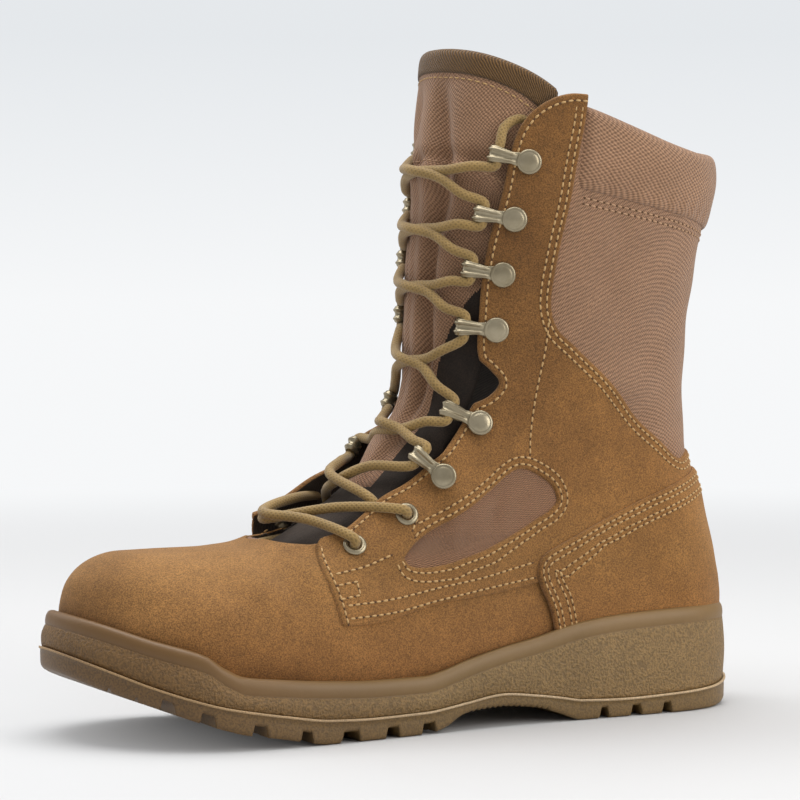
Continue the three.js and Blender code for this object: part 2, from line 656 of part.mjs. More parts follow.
function hookSolid() {
  const profile = new THREE.Shape(HOOK_PROFILE.map((p) => new THREE.Vector2(p.ahead, p.out)));
  profile.holes.push(new THREE.Path(HOOK_EYE.map((p) => new THREE.Vector2(p.ahead, p.out))));
  const strap = new THREE.ExtrudeGeometry(profile, { depth: 12, bevelEnabled: false });
  strap.translate(0, 0, -6);
  const planCorners = [
    ...HOOK_PLAN.map((p) => new THREE.Vector2(p.ahead, p.half)),
    ...[...HOOK_PLAN].reverse().map((p) => new THREE.Vector2(p.ahead, -p.half)),
  ];
  const plan = new THREE.ExtrudeGeometry(new THREE.Shape(planCorners), { depth: 16, bevelEnabled: false });
  plan.rotateX(Math.PI / 2);
  plan.translate(0, 8, 0);
  const dome = new THREE.LatheGeometry(
    [[0, 0], [HOOK_DOME, 0], [HOOK_DOME, 0.9], [3.4, 2.2], [0, 2.7]].map(
      ([radius, height]) => new THREE.Vector2(radius, height),
    ),
    10,
  );
  return fromGeometry(strap).intersect(fromGeometry(plan)).add(fromGeometry(dome));
}
const hookShape = geometryOf(hookSolid());

function hook({ x, z, rise, tipX, tipZ, tipRise }, lateral) {
  const { point, normal } = sidePoint(x, z, lateral, rise);
  const ahead = sidePoint(tipX, tipZ, lateral, tipRise).point.sub(point).normalize();
  const upright = normal.clone().addScaledVector(ahead, -ahead.dot(normal)).normalize();
  return placed(hookShape.clone(), point, upright, ahead);
}

// ---------- laces ----------
// A cord through the points given, drawn with a five-sided section.
function cord(points, radius) {
  const curve = new THREE.CatmullRomCurve3(points);
  const around = 5;
  const along = 6;
  const rings = [];
  let side = new THREE.Vector3(0, 0, 1);
  for (let i = 0; i <= along; i++) {
    const tangent = curve.getTangent(i / along);
    side = side.clone().projectOnPlane(tangent).normalize();
    const other = new THREE.Vector3().crossVectors(tangent, side);
    const centre = curve.getPoint(i / along);
    rings.push(
      Array.from({ length: around }, (_, k) => {
        const angle = (k / around) * 2 * Math.PI;
        return centre
          .clone()
          .addScaledVector(side, Math.cos(angle) * radius)
          .addScaledVector(other, Math.sin(angle) * radius);
      }),
    );
  }
  const triangles = [];
  for (let r = 0; r < along; r++) {
    for (let k = 0; k < around; k++) {
      const next = (k + 1) % around;
      const [a, b] = [r * around + k, r * around + next];
      triangles.push(a, b, b + around, a, b + around, a + around);
    }
  }
  const last = along * around;
  for (let k = 1; k < around - 1; k++) {
    triangles.push(0, k + 1, k, last, last + k, last + k + 1);
  }
  return solidFrom(rings.flat(), triangles);
}

// Where a strand leaves each pair of holders, and the heights at which the strands cross.
const HOLDERS = [
  ...HOOKS.map(({ tipX, tipZ }) => ({ x: tipX + 3.4, z: tipZ + 1.6, out: 3.2 })),
  ...EYELETS.map(({ x, z }) => ({ x: x + 4.5, z: z + 3.5, out: 4.6 })),
];
function strand(from, to, over) {
  const middleZ = (from.z + to.z) / 2;
  const onShaft = middleZ > 100;
  const lift = 3.3 + 4.4 * (1 - easeBetween(middleZ, 108, 140)); // height of a strand's centre over the upper's form
  const ridgeX = onShaft ? frontXAt(middleZ + 3) : (from.x + to.x) / 2 + 5;
  const ridgeZ = onShaft ? middleZ + 3 : topZAt(ridgeX);
  const outwards = onShaft ? new THREE.Vector3(1, 0, 0.25) : new THREE.Vector3(0.35, 0, 1);
  const centre = new THREE.Vector3(ridgeX, ridgeY(ridgeX), ridgeZ);
  centre.addScaledVector(outwards.normalize(), lift + over);
  const shoulder = (end, lateral) => {
    const x = end.x + (ridgeX - end.x) * 0.62;
    const z = end.z + (ridgeZ - end.z) * 0.5;
    return sidePoint(x, Math.min(z, topZAt(x) - 1), lateral, lift + 0.2).point;
  };
  return cord(
    [
      sidePoint(from.x, from.z, true, from.out).point,
      shoulder(from, true),
      centre,
      shoulder(to, false),
      sidePoint(to.x, to.z, false, to.out).point,
    ],
    LACE_RADIUS,
  );
}
const crossings = HOLDERS.slice(1).map((lower, i) => {
  const higher = HOLDERS[i];
  return strand(lower, higher, 0.6).add(strand(higher, lower, 0));
});

// ---------- finishes and assembly ----------
const finish = (color, roughness, metalness = 0) =>
  new THREE.MeshStandardMaterial({ color, roughness, metalness });
const suede = finish(0xb0885a, 0.95);
const nylon = finish(0xab8568, 0.9);
const polyurethane = finish(0x937450, 0.85);
const rubber = finish(0x7b6442, 0.8);
const foam = finish(0x5a4a3a, 0.95);
const metal = finish(0x9a917a, 0.4, 0.8);
const braid = finish(0xb9965a, 0.85);

const boot = new THREE.Group();
boot.name = "combat_boot_left";
function geometryOf(solid) {
  const mesh = solid.getMesh();
  const geometry = new THREE.BufferGeometry();
  geometry.setAttribute("position", new THREE.Float32BufferAttribute(mesh.vertProperties, 3));
  geometry.setIndex(Array.from(mesh.triVerts));
  return geometry;
}
function add(name, geometry, material) {
  geometry.computeVertexNormals();
  const mesh = new THREE.Mesh(geometry, material);
  mesh.name = name;
  boot.add(mesh);
}
add("outsole", geometryOf(outsole), rubber);
add("midsole", geometryOf(midsole), polyurethane);
add("insole", geometryOf(insole), foam);
add("upper", geometryOf(upper), suede);
add("heel_counter", geometryOf(heelCounter), suede);
add("collar", geometryOf(collar), nylon);
add("tongue", geometryOf(tongue), nylon);
for (const { side, lateral } of SIDES) {
  HOOKS.forEach((place, i) => add(`lace_hook_${side}_${i + 1}`, hook(place, lateral), metal));
  EYELETS.forEach((place, i) => add(`eyelet_${side}_${i + 1}`, eyelet(place, lateral), metal));
}
add("laces", geometryOf(wasm.Manifold.union(crossings)), braid);

export default boot;
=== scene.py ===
import math

import bpy
import numpy as np
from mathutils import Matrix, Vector
from mathutils.geometry import delaunay_2d_cdt


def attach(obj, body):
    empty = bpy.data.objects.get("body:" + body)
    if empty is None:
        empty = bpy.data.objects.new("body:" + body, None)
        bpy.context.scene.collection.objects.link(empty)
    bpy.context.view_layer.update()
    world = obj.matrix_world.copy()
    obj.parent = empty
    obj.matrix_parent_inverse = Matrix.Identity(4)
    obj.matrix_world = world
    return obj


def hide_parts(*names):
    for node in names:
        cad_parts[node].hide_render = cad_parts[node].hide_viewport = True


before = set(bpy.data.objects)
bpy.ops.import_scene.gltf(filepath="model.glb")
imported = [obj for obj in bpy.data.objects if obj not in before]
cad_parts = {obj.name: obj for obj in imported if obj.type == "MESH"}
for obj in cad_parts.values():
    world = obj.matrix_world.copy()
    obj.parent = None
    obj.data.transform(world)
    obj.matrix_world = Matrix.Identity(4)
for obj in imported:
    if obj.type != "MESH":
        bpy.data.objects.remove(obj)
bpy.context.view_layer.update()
MM = 0.001

# ---------------------------------------------------------------------------------------------
# Lasted shell: woven nylon backed with a dark lining, pulled over the last. Every other upper
# piece is sewn to it, so the last's own curves are set down here.
# ---------------------------------------------------------------------------------------------
# row, back x, back z, front x, front z, sag: sections from the feather edge to the tongue's top
SECTIONS = np.array([
    (0, -38.5, 31, 256, 36.8, 1), (1, -40.3, 39, 258.3, 49, 0.75), (2, -40.8, 47, 257.3, 61.5, 0.5),
    (3, -40.3, 55, 248.5, 71.5, 0.3), (4, -38.6, 63, 233, 76.3, 0.12), (5, -36.5, 72, 211, 76.6, 0),
    (6, -34.3, 81, 188, 77.8, 0), (7, -31.8, 91, 165, 86, 0), (8, -29, 102, 144.5, 98.5, 0),
    (9, -27, 115, 127.5, 114, 0), (10, -26, 130, 114.5, 131, 0), (11, -25.8, 147, 109.5, 153, 0),
    (12, -27, 166, 108, 177, 0), (13, -29.8, 186, 106.5, 201, 0), (14, -34, 206, 104, 223, 0),
    (15, -38.3, 226, 100.5, 246, 0), (16, -40.3, 246, 98, 268, 0), (17, -41.5, 258, 96, 282, 0),
], float)
# x, half-width outside, half-width inside, ridge line
FOOT = np.array([
    (-36, 34, 34, 0), (0, 34.5, 34.5, 0), (40, 36, 34, 0), (80, 38.5, 34.5, 0), (120, 43, 38, 0),
    (160, 47.5, 44, -1.5), (190, 48.5, 47, -3.5), (215, 47, 48, -6), (240, 43, 47.5, -8.5),
    (264, 36, 45, -10.5),
], float)
SHAFT = np.array([(60, 36), (90, 36.5), (120, 39), (150, 42), (190, 45.5), (230, 48), (285, 49)], float)
# x, half-width outside, half-width inside of the sole
SOLE = np.array([
    (-44, 38, 38), (0, 40, 40), (40, 41, 39), (80, 42.5, 38), (120, 47.5, 41.5), (160, 53, 48.5),
    (190, 55, 53), (215, 53, 54.5), (240, 48, 53.5), (267, 40, 50),
], float)
# x, tread, seam of outsole and midsole, floor under the foot, midsole lip
HEIGHTS = np.array([
    (-44, 3, 12.5, 31, 44.5), (-36, 1, 11, 31, 44.8), (-26, 0, 9.6, 31, 45), (0, 0, 8.4, 30.5, 44.5),
    (22, 0, 7.8, 29.5, 43.5), (45, 0, 8.6, 28, 41), (56, 3.5, 10.4, 26.5, 38.6),
    (67, 6.4, 12, 25, 35.9), (84, 8, 13.7, 22, 32.6), (102, 7, 11.6, 19, 28.4),
    (114, 1.6, 10, 17.4, 25), (122, 0, 9.2, 16.6, 23.6), (146, 0, 9, 15.6, 23.8),
    (168, 0, 9.8, 15.6, 25), (190, 3.6, 13, 18, 27), (205, 6, 15.6, 20.2, 28.8),
    (213, 8.2, 17.2, 21.8, 32.6), (220, 10.4, 19, 23.6, 37.6), (238, 17.2, 25, 29.6, 43.6),
    (254, 23.6, 32, 36.4, 49.6), (267, 30, 38, 42.4, 54),
], float)
HEEL_BACK, TOE_TIP, UPPER_TOE = -44, 265, 258.5


def smooth(rows, column):
    """Monotone cubic through a table: each tangent is the harmonic mean of its two slopes."""
    xs, ys = rows[:, 0], rows[:, column]
    slope = np.diff(ys) / np.diff(xs)
    before, after = np.r_[slope[0], slope], np.r_[slope, slope[-1]]
    total = np.where(before * after > 0, before + after, 1)
    tangent = np.where(before * after > 0, 2 * before * after / total, 0)

    def curve(x):
        x = np.clip(np.asarray(x, float), xs[0], xs[-1])
        i = np.clip(np.searchsorted(xs, x) - 1, 0, len(slope) - 1)
        step = xs[i + 1] - xs[i]
        t = (x - xs[i]) / step
        bend = t * t * (3 - 2 * t)
        lean = step * (tangent[i] * t * (1 - t) ** 2 - tangent[i + 1] * t * t * (1 - t))
        return ys[i] * (1 - bend) + ys[i + 1] * bend + lean

    return curve


back_x, back_z, front_x, front_z, sag_of = (smooth(SECTIONS, k) for k in (1, 2, 3, 4, 5))
foot_out, foot_in, ridge_y = (smooth(FOOT, k) for k in (1, 2, 3))
shaft_half = smooth(SHAFT, 1)
sole_out, sole_in = smooth(SOLE, 1), smooth(SOLE, 2)
tread_z, seam_z, floor_z, lip_z = (smooth(HEIGHTS, k) for k in (1, 2, 3, 4))
LAST_ROW = 17
dense = np.linspace(0, LAST_ROW, 801)


def reader(a, b, first=0.0):
    """b read where a has the value given, along the outline from a row to the tongue's top."""
    known, wanted = a(dense[dense >= first]), b(dense[dense >= first])
    order = np.argsort(known, kind="stable")
    return lambda value: np.interp(value, known[order], wanted[order])


top_z_at = reader(front_x, front_z, dense[front_x(dense).argmax()])
front_x_at, back_x_at = reader(front_z, front_x), reader(back_z, back_x)
low_rows = dense[dense <= dense[front_x(dense).argmax()]]
nose_at = lambda z: np.interp(z, np.r_[front_z(low_rows), 61.5], np.r_[front_x(low_rows), UPPER_TOE])


def ease(value, low, high):
    """0 below low, 1 above high, 3t^2 - 2t^3 between."""
    t = np.clip((np.asarray(value, float) - low) / (high - low), 0, 1)
    return t * t * (3 - 2 * t)


def rounded(inside, length, power):
    """A quarter of a superellipse: 0 at an end, 1 a length inside it."""
    return (1 - (1 - np.clip(inside / length, 0, 1)) ** power) ** (1 / power)


def half_width(x, z, outer):
    """Distance of the upper from its ridge line: a superellipse arch over the foot's plan, changing
    to an oval of the shaft's depth between heights 84 and 142."""
    ridge = ridge_y(x)
    plan = np.where(outer, foot_out(x) - ridge, foot_in(x) + ridge)
    nose = nose_at(z)
    ends = rounded(nose - x, 50, 2.3) * rounded(x - back_x_at(z), 37, 2.15)
    rise = np.clip((z - 36) / (top_z_at(x) - 36), 0, 1)
    foot = plan * ends * np.sqrt(np.maximum(1 - rise ** 2.3, 0)) * (1 - 0.05 * ease(36 - z, 0, 22))
    depth = front_x_at(z) - back_x_at(z)
    along = np.clip((x - back_x_at(z)) / depth, 0, 1)
    oval = np.sqrt(np.maximum(1 - np.abs(2 * along - 1) ** 2.25, 0))
    shaft = (shaft_half(z) + np.where(outer, -ridge, ridge)) * oval
    share = ease(z, 84, 142)
    return foot * (1 - share) + shaft * share


def face(row, turn):
    """Point of the outer face. turn is 0 at the back seam, 0.25 outside, 0.5 in front, 0.75 inside."""
    row, turn = np.broadcast_arrays(np.asarray(row, float), np.asarray(turn, float))
    angle = turn * 2 * np.pi
    along = (1 - np.cos(angle)) / 2
    x = back_x(row) + (front_x(row) - back_x(row)) * along
    chord = back_z(row) + (front_z(row) - back_z(row)) * along
    first = floor_z(back_x(row)) * (1 - along) + floor_z(front_x(row)) * along
    z = chord + sag_of(row) * (floor_z(x) - first)
    side = np.sin(angle)
    half = np.where(np.abs(side) < 1e-9, 0, half_width(x, z, side >= 0))
    return np.stack([x, ridge_y(x) + np.where(side >= 0, half, -half), z], -1)


# Creases worn or pulled into the upper: x, z of the middle, direction up from +X in degrees,
# half-length, half-width, depth (negative is a ridge), side (1 outside, -1 inside, 0 both)
CREASES = [
    (176, 60, 62, 24, 5, 0.9, 0), (190, 62, 70, 20, 5, -0.6, 0), (203, 60, 76, 17, 4.5, 0.6, 0),
    (118, 100, 128, 22, 6, 0.8, 0), (104, 118, 140, 26, 7, 0.9, 1), (96, 124, 150, 26, 7, 1.0, -1),
    (20, 128, 12, 30, 6, 1.2, 1), (26, 140, 8, 26, 6, -0.9, 1), (12, 122, -14, 26, 6, 1.2, -1),
    (16, 152, 16, 28, 7, 0.9, 0), (0, 170, -20, 26, 7, 0.8, 1), (34, 182, 70, 30, 8, 0.8, 0),
    (30, 205, 84, 22, 6, 0.7, 1), (70, 190, 82, 34, 6, 0.5, 0), (10, 196, 30, 24, 7, -0.7, -1),
    (84, 92, 38, 30, 8, 0.7, 1), (140, 66, 20, 26, 7, 0.6, 1), (60, 60, 6, 34, 8, 0.5, 0),
    (85, 87, 104, 13, 2.0, 0.9, 1), (79, 90, 110, 12, 2.2, -0.6, 1), (98, 80, 96, 9, 1.8, 0.6, 1),
]


def crease_depth(p):
    """Sum of soft troughs: each a Gaussian across its line and a raised cosine along it."""
    total = np.zeros(p.shape[:-1])
    for x, z, degrees, length, width, depth, side in CREASES:
        a = math.radians(degrees)
        along = (p[..., 0] - x) * math.cos(a) + (p[..., 2] - z) * math.sin(a)
        across = -(p[..., 0] - x) * math.sin(a) + (p[..., 2] - z) * math.cos(a)
        bow = across - 0.004 * along ** 2
        fade = np.cos(np.clip(along / length, -1, 1) * np.pi / 2) ** 2
        mine = 1 if side == 0 else ease(p[..., 1] * side, -6, 12)
        total += depth * fade * np.exp(-(bow / width) ** 2) * mine
    # a slow unevenness of hand-lasted leather, from three long waves
    u = p / 1000
    total += 0.28 * np.sin(u[..., 0] * 71 + u[..., 2] * 93 + 1.3) * np.sin(u[..., 2] * 120 - u[..., 1] * 60)
    total += 0.16 * np.sin(u[..., 0] * 190 + u[..., 1] * 150) * np.sin(u[..., 2] * 210 + 0.7)
    return total


def upper_point(row, turn, out=0.0):
    """The face moved out along its normal (up the sections crossed with round them), with the
    creases sunk into it."""
    row, turn = np.broadcast_arrays(np.asarray(row, float), np.asarray(turn, float))
    p = face(row, turn)
    up = face(np.minimum(row + 0.03, LAST_ROW), turn) - face(np.maximum(row - 0.03, 0), turn)
    normal = np.cross(up, face(row, turn + 0.0012) - face(row, turn - 0.0012))
    normal /= np.linalg.norm(normal, axis=-1, keepdims=True) + 1e-12
    return p + normal * (np.asarray(out) - crease_depth(p))[..., None]


def to_turn_row(xz):
    """(turn, row) of points given on the outer side view, by halving the rows 40 times."""
    x, z = np.asarray(xz, float).T
    low, high = np.zeros(len(x)), np.full(len(x), float(LAST_ROW))
    for _ in range(40):
        row = (low + high) / 2
        along = np.clip((x - back_x(row)) / (front_x(row) - back_x(row)), 0, 1)
        chord = back_z(row) + (front_z(row) - back_z(row)) * along
        first = floor_z(back_x(row)) * (1 - along) + floor_z(front_x(row)) * along
        under = chord + sag_of(row) * (floor_z(x) - first) < z
        low, high = np.where(under, row, low), np.where(under, high, row)
    return np.stack([np.arccos(1 - 2 * along) / (2 * np.pi), row], -1)


def curve_through(points, step=1.0):
    """A centripetal Catmull-Rom curve through points of any dimension, resampled every step."""
    p = np.asarray(points, float)
    p = np.vstack([2 * p[0] - p[1], p, 2 * p[-1] - p[-2]])
    knots = np.r_[0, np.cumsum(np.sqrt(np.maximum(np.linalg.norm(np.diff(p, axis=0), axis=1), 1e-6)))]
    parts = []
    for i in range(1, len(p) - 2):
        t0, t1, t2, t3 = knots[i - 1:i + 3]
        t = np.linspace(t1, t2, 24, endpoint=False)[:, None]
        a1 = ((t1 - t) * p[i - 1] + (t - t0) * p[i]) / (t1 - t0)
        a2 = ((t2 - t) * p[i] + (t - t1) * p[i + 1]) / (t2 - t1)
        a3 = ((t3 - t) * p[i + 1] + (t - t2) * p[i + 2]) / (t3 - t2)
        b1 = ((t2 - t) * a1 + (t - t0) * a2) / (t2 - t0)
        b2 = ((t3 - t) * a2 + (t - t1) * a3) / (t3 - t1)
        parts.append(((t2 - t) * b1 + (t - t1) * b2) / (t2 - t1))
    return resample(np.vstack([*parts, p[-2:-1]]), step)


def resample(line, step):
    run = np.r_[0, np.cumsum(np.linalg.norm(np.diff(line, axis=0), axis=1))]
    at = np.linspace(0, run[-1], max(int(round(run[-1] / step)), 1) + 1)
    return np.stack([np.interp(at, run, line[:, k]) for k in range(line.shape[1])], -1)


def build(name, verts, faces, materials, uv=None, face_material=None, smooth_faces=True):
    """A mesh piece from millimetre points, turned outwards if its signed volume is negative."""
    verts = np.asarray(verts, float)
    faces = [np.asarray(f, int) for f in (faces if isinstance(faces, list) else [faces])]
    volume = sum(
        np.einsum("ij,ij->i", verts[f[:, 0]], np.cross(verts[f[:, k]], verts[f[:, k + 1]])).sum()
        for f in faces for k in range(1, f.shape[1] - 1)
    )
    if volume < 0:
        faces = [f[:, ::-1] for f in faces]
    mesh = bpy.data.meshes.new(name)
    counts = np.concatenate([np.full(len(f), f.shape[1]) for f in faces])
    loops = np.concatenate([f.ravel() for f in faces])
    mesh.vertices.add(len(verts))
    mesh.vertices.foreach_set("co", (verts * MM).ravel())
    mesh.loops.add(len(loops))
    mesh.loops.foreach_set("vertex_index", loops)
    mesh.polygons.add(len(counts))
    mesh.polygons.foreach_set("loop_start", np.r_[0, np.cumsum(counts)[:-1]])
    mesh.polygons.foreach_set("loop_total", counts)
    if face_material is not None:
        mesh.polygons.foreach_set("material_index", np.asarray(face_material, int))
    mesh.update(calc_edges=True)
    if uv is not None:
        layer = mesh.uv_layers.new(name="UVMap")
        uv = np.asarray(uv, float)
        per_corner = len(uv) == len(loops) and len(uv) != len(verts)
        layer.data.foreach_set("uv", ((uv if per_corner else uv[loops]) * MM).ravel())
    if smooth_faces:
        mesh.shade_smooth()
    for material in materials:
        mesh.materials.append(material)
    piece = bpy.data.objects.new(name, mesh)
    bpy.context.scene.collection.objects.link(piece)
    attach(piece, "root")
    return piece


def grid_lengths(p):
    """UVs of a grid of points: the length run along each row and up each column, in millimetres."""
    u = np.cumsum(np.linalg.norm(np.diff(p, axis=1, prepend=p[:, :1]), axis=-1), axis=1)
    v = np.cumsum(np.linalg.norm(np.diff(p, axis=0, prepend=p[:1]), axis=-1), axis=0)
    return np.stack([u, v], -1).reshape(-1, 2)


def quads(rows, columns, wrap_rows=False, wrap_columns=False):
    """Faces of a grid of rows by columns points, closed round either way."""
    r = np.arange(rows if wrap_rows else rows - 1)[:, None]
    c = np.arange(columns if wrap_columns else columns - 1)[None, :]
    a, b = r * columns + c, r * columns + (c + 1) % columns
    up = ((r + 1) % rows) * columns
    return np.stack([a, b, up + (c + 1) % columns, up + c], -1).reshape(-1, 4)


def inside(points, loops):
    """Even-odd test of points against closed outlines."""
    hit = np.zeros(len(points), bool)
    x, y = points[:, 0], points[:, 1]
    for loop in loops:
        for (x0, y0), (x1, y1) in zip(loop, np.roll(loop, -1, axis=0)):
            if y0 != y1:
                crosses = (y0 > y) != (y1 > y)
                hit ^= crosses & (x < (x1 - x0) * (y - y0) / (y1 - y0) + x0)
    return hit


def nearest(points, line):
    """Distance of each point to the nearest point of a line drawn finely."""
    return np.concatenate([
        np.sqrt(((block[:, None] - line[None]) ** 2).sum(-1).min(1))
        for block in np.array_split(points, max(len(points) // 400, 1))
    ])


TURN_MM, ROW_MM = 420.0, 14.0


def crowd(turn):
    """Even turns drawn together at the ridge and at the back seam, where the last bends most."""
    return turn - 0.62 * np.sin(4 * np.pi * turn) / (4 * np.pi)


def flat(q):
    """The last's face at points given in panel millimetres."""
    return face(q[:, 1] / ROW_MM, q[:, 0] / TURN_MM)


def across(line, tangent):
    """For each point of a line in panel millimetres, the step that moves it one true millimetre to
    its left on the last, from the surface's first fundamental form."""
    e = 0.01
    du = (flat(line + [e, 0]) - flat(line - [e, 0])) / (2 * e)
    dv = (flat(line + [0, e]) - flat(line - [0, e])) / (2 * e)
    along = du * tangent[:, :1] + dv * tangent[:, 1:]
    left = np.cross(np.cross(du, dv), along)
    left /= np.linalg.norm(left, axis=1, keepdims=True) + 1e-12
    g11, g12, g22 = (du * du).sum(1), (du * dv).sum(1), (dv * dv).sum(1)
    b1, b2 = (left * du).sum(1), (left * dv).sum(1)
    det = g11 * g22 - g12 ** 2 + 1e-12
    return np.stack([(b1 * g22 - b2 * g12) / det, (b2 * g11 - b1 * g12) / det], -1)


def panel(name, loops, out, thick, materials, spacing=2.0, edge=1.0, lift=None):
    """A cut piece of sheet sewn flat on the last. loops are closed outlines in (turn, row), the
    first outside and the rest windows. It is triangulated from the outline, rings drawn in from it
    and an even grid; its height falls to nothing at the cut edge along a quarter circle, and a
    copy a thickness lower closes it underneath."""
    scale = np.array([TURN_MM, ROW_MM])
    loops = [resample(np.vstack([l, l[:1]]) * scale, 1.0)[:-1] for l in loops]
    rims = np.vstack(loops)
    fine = np.vstack([
        face(f[:, 1] / ROW_MM, f[:, 0] / TURN_MM)
        for f in (resample(np.vstack([l, l[:1]]), 0.4) for l in loops)
    ])
    rings = [rims]
    tangent = np.vstack([np.roll(l, -1, axis=0) - np.roll(l, 1, axis=0) for l in loops])
    step = across(rims, tangent)
    for reach in (0.15 * edge, 0.45 * edge, edge, edge + 0.9):
        for sign in (1, -1):
            moved = rims + step * reach * sign
            good = inside(moved, loops)
            good[good] = nearest(flat(moved[good]), fine) > reach * 0.93
            rings.append(moved[good])
    lo, hi = rims.min(0), rims.max(0)
    gx, gy = np.meshgrid(np.arange(lo[0] - 60, hi[0] + 60, spacing), np.arange(lo[1], hi[1], spacing * 0.87))
    gx[1::2] += spacing / 2
    gx = crowd(gx / TURN_MM) * TURN_MM
    grid = np.stack([gx.ravel(), gy.ravel()], -1)
    grid = grid[inside(grid, loops)]
    grid = grid[nearest(flat(grid), fine) > edge + 1.5]
    points = np.vstack([*rings, grid])
    edges, start = [], 0
    for l in loops:
        n = np.arange(len(l))
        edges += [(int(start + i), int(start + (i + 1) % len(l))) for i in n]
        start += len(l)
    done = delaunay_2d_cdt([Vector(p) for p in points], edges, [], 0, 1e-5, False)
    verts, tris = np.array([tuple(v) for v in done[0]]), np.array([tuple(f) for f in done[2]])
    tris = tris[inside(verts[tris].mean(1), loops)]
    used, tris = np.unique(tris, return_inverse=True)
    verts, tris = verts[used], tris.reshape(-1, 3)
    gap = nearest(flat(verts), fine)
    on_rim = nearest(verts, rims) < 1e-3
    share = np.where(on_rim, 0, np.sqrt(1 - (1 - np.clip(gap / edge, 0, 1)) ** 2))
    row, turn = verts[:, 1] / ROW_MM, verts[:, 0] / TURN_MM
    extra = np.zeros(len(verts)) if lift is None else lift(flat(verts))
    top = upper_point(row, turn, out - thick * (1 - share) + extra)
    low = upper_point(row[~on_rim], turn[~on_rim], out - thick + extra[~on_rim])
    under = np.arange(len(verts))
    under[~on_rim] = len(verts) + np.arange((~on_rim).sum())
    floor_tris = under[tris][:, ::-1]
    keep = ~(on_rim[tris].all(1))
    faces = np.vstack([tris[keep], floor_tris[keep]])
    outer_rows = np.zeros(keep.sum(), int)
    if len(materials) > 2:
        outer_rows = np.where(share[tris[keep]].min(1) < 0.5, len(materials) - 1, 0)
    rows = np.r_[outer_rows, np.ones(keep.sum(), int)]
    uv = np.vstack([verts, verts[~on_rim]])
    return build(name, np.vstack([top, low]), faces, materials, uv, rows)


def shader(name, roughness=0.9, metallic=0.0, sheen=0.0):
    """A new material with its nodes, links and shader."""
    m = bpy.data.materials.new(name)
    m.use_nodes = True
    nodes, links = m.node_tree.nodes, m.node_tree.links
    main = nodes["Principled BSDF"]
    main.inputs["Roughness"].default_value = roughness
    main.inputs["Metallic"].default_value = metallic
    main.inputs["Sheen Weight"].default_value = sheen
    main.inputs["Sheen Roughness"].default_value = 0.5
    return m, nodes, links, main


def noise(nodes, links, source, per_mm, detail=2.0, rough=0.5):
    """Noise whose features are 1 / per_mm millimetres across, on a coordinate in metres."""
    n = nodes.new("ShaderNodeTexNoise")
    n.inputs["Scale"].default_value = per_mm * 1000
    n.inputs["Detail"].default_value = detail
    n.inputs["Roughness"].default_value = rough
    links.new(source, n.inputs["Vector"])
    return n.outputs["Fac"]


def ramp(nodes, links, value, stops):
    r = nodes.new("ShaderNodeValToRGB")
    while len(r.color_ramp.elements) < len(stops):
        r.color_ramp.elements.new(0.5)
    for element, (at, color) in zip(r.color_ramp.elements, stops):
        element.position, element.color = at, (*color, 1)
    links.new(value, r.inputs["Fac"])
    return r.outputs["Color"]


def calc(nodes, links, kind, a, b=None):
    n = nodes.new("ShaderNodeMath")
    n.operation = kind
    for socket, value in zip(n.inputs, (a, b)):
        if value is None:
            continue
        if isinstance(value, (int, float)):
            socket.default_value = value
        else:
            links.new(value, socket)
    return n.outputs[0]


def blend_color(nodes, links, kind, share, a, b):
    n = nodes.new("ShaderNodeMix")
    n.data_type, n.blend_type = "RGBA", kind
    for socket, value in zip((n.inputs[0], n.inputs[6], n.inputs[7]), (share, a, b)):
        if isinstance(value, (int, float)):
            socket.default_value = value
        elif isinstance(value, tuple):
            socket.default_value = (*value, 1)
        else:
            links.new(value, socket)
    return n.outputs[2]


def bump(nodes, links, height, depth_mm, under=None, strength=1.0):
    n = nodes.new("ShaderNodeBump")
    n.inputs["Strength"].default_value = strength
    n.inputs["Distance"].default_value = depth_mm * MM
    links.new(height, n.inputs["Height"])
    if under is not None:
        links.new(under, n.inputs["Normal"])
    return n.outputs["Normal"]


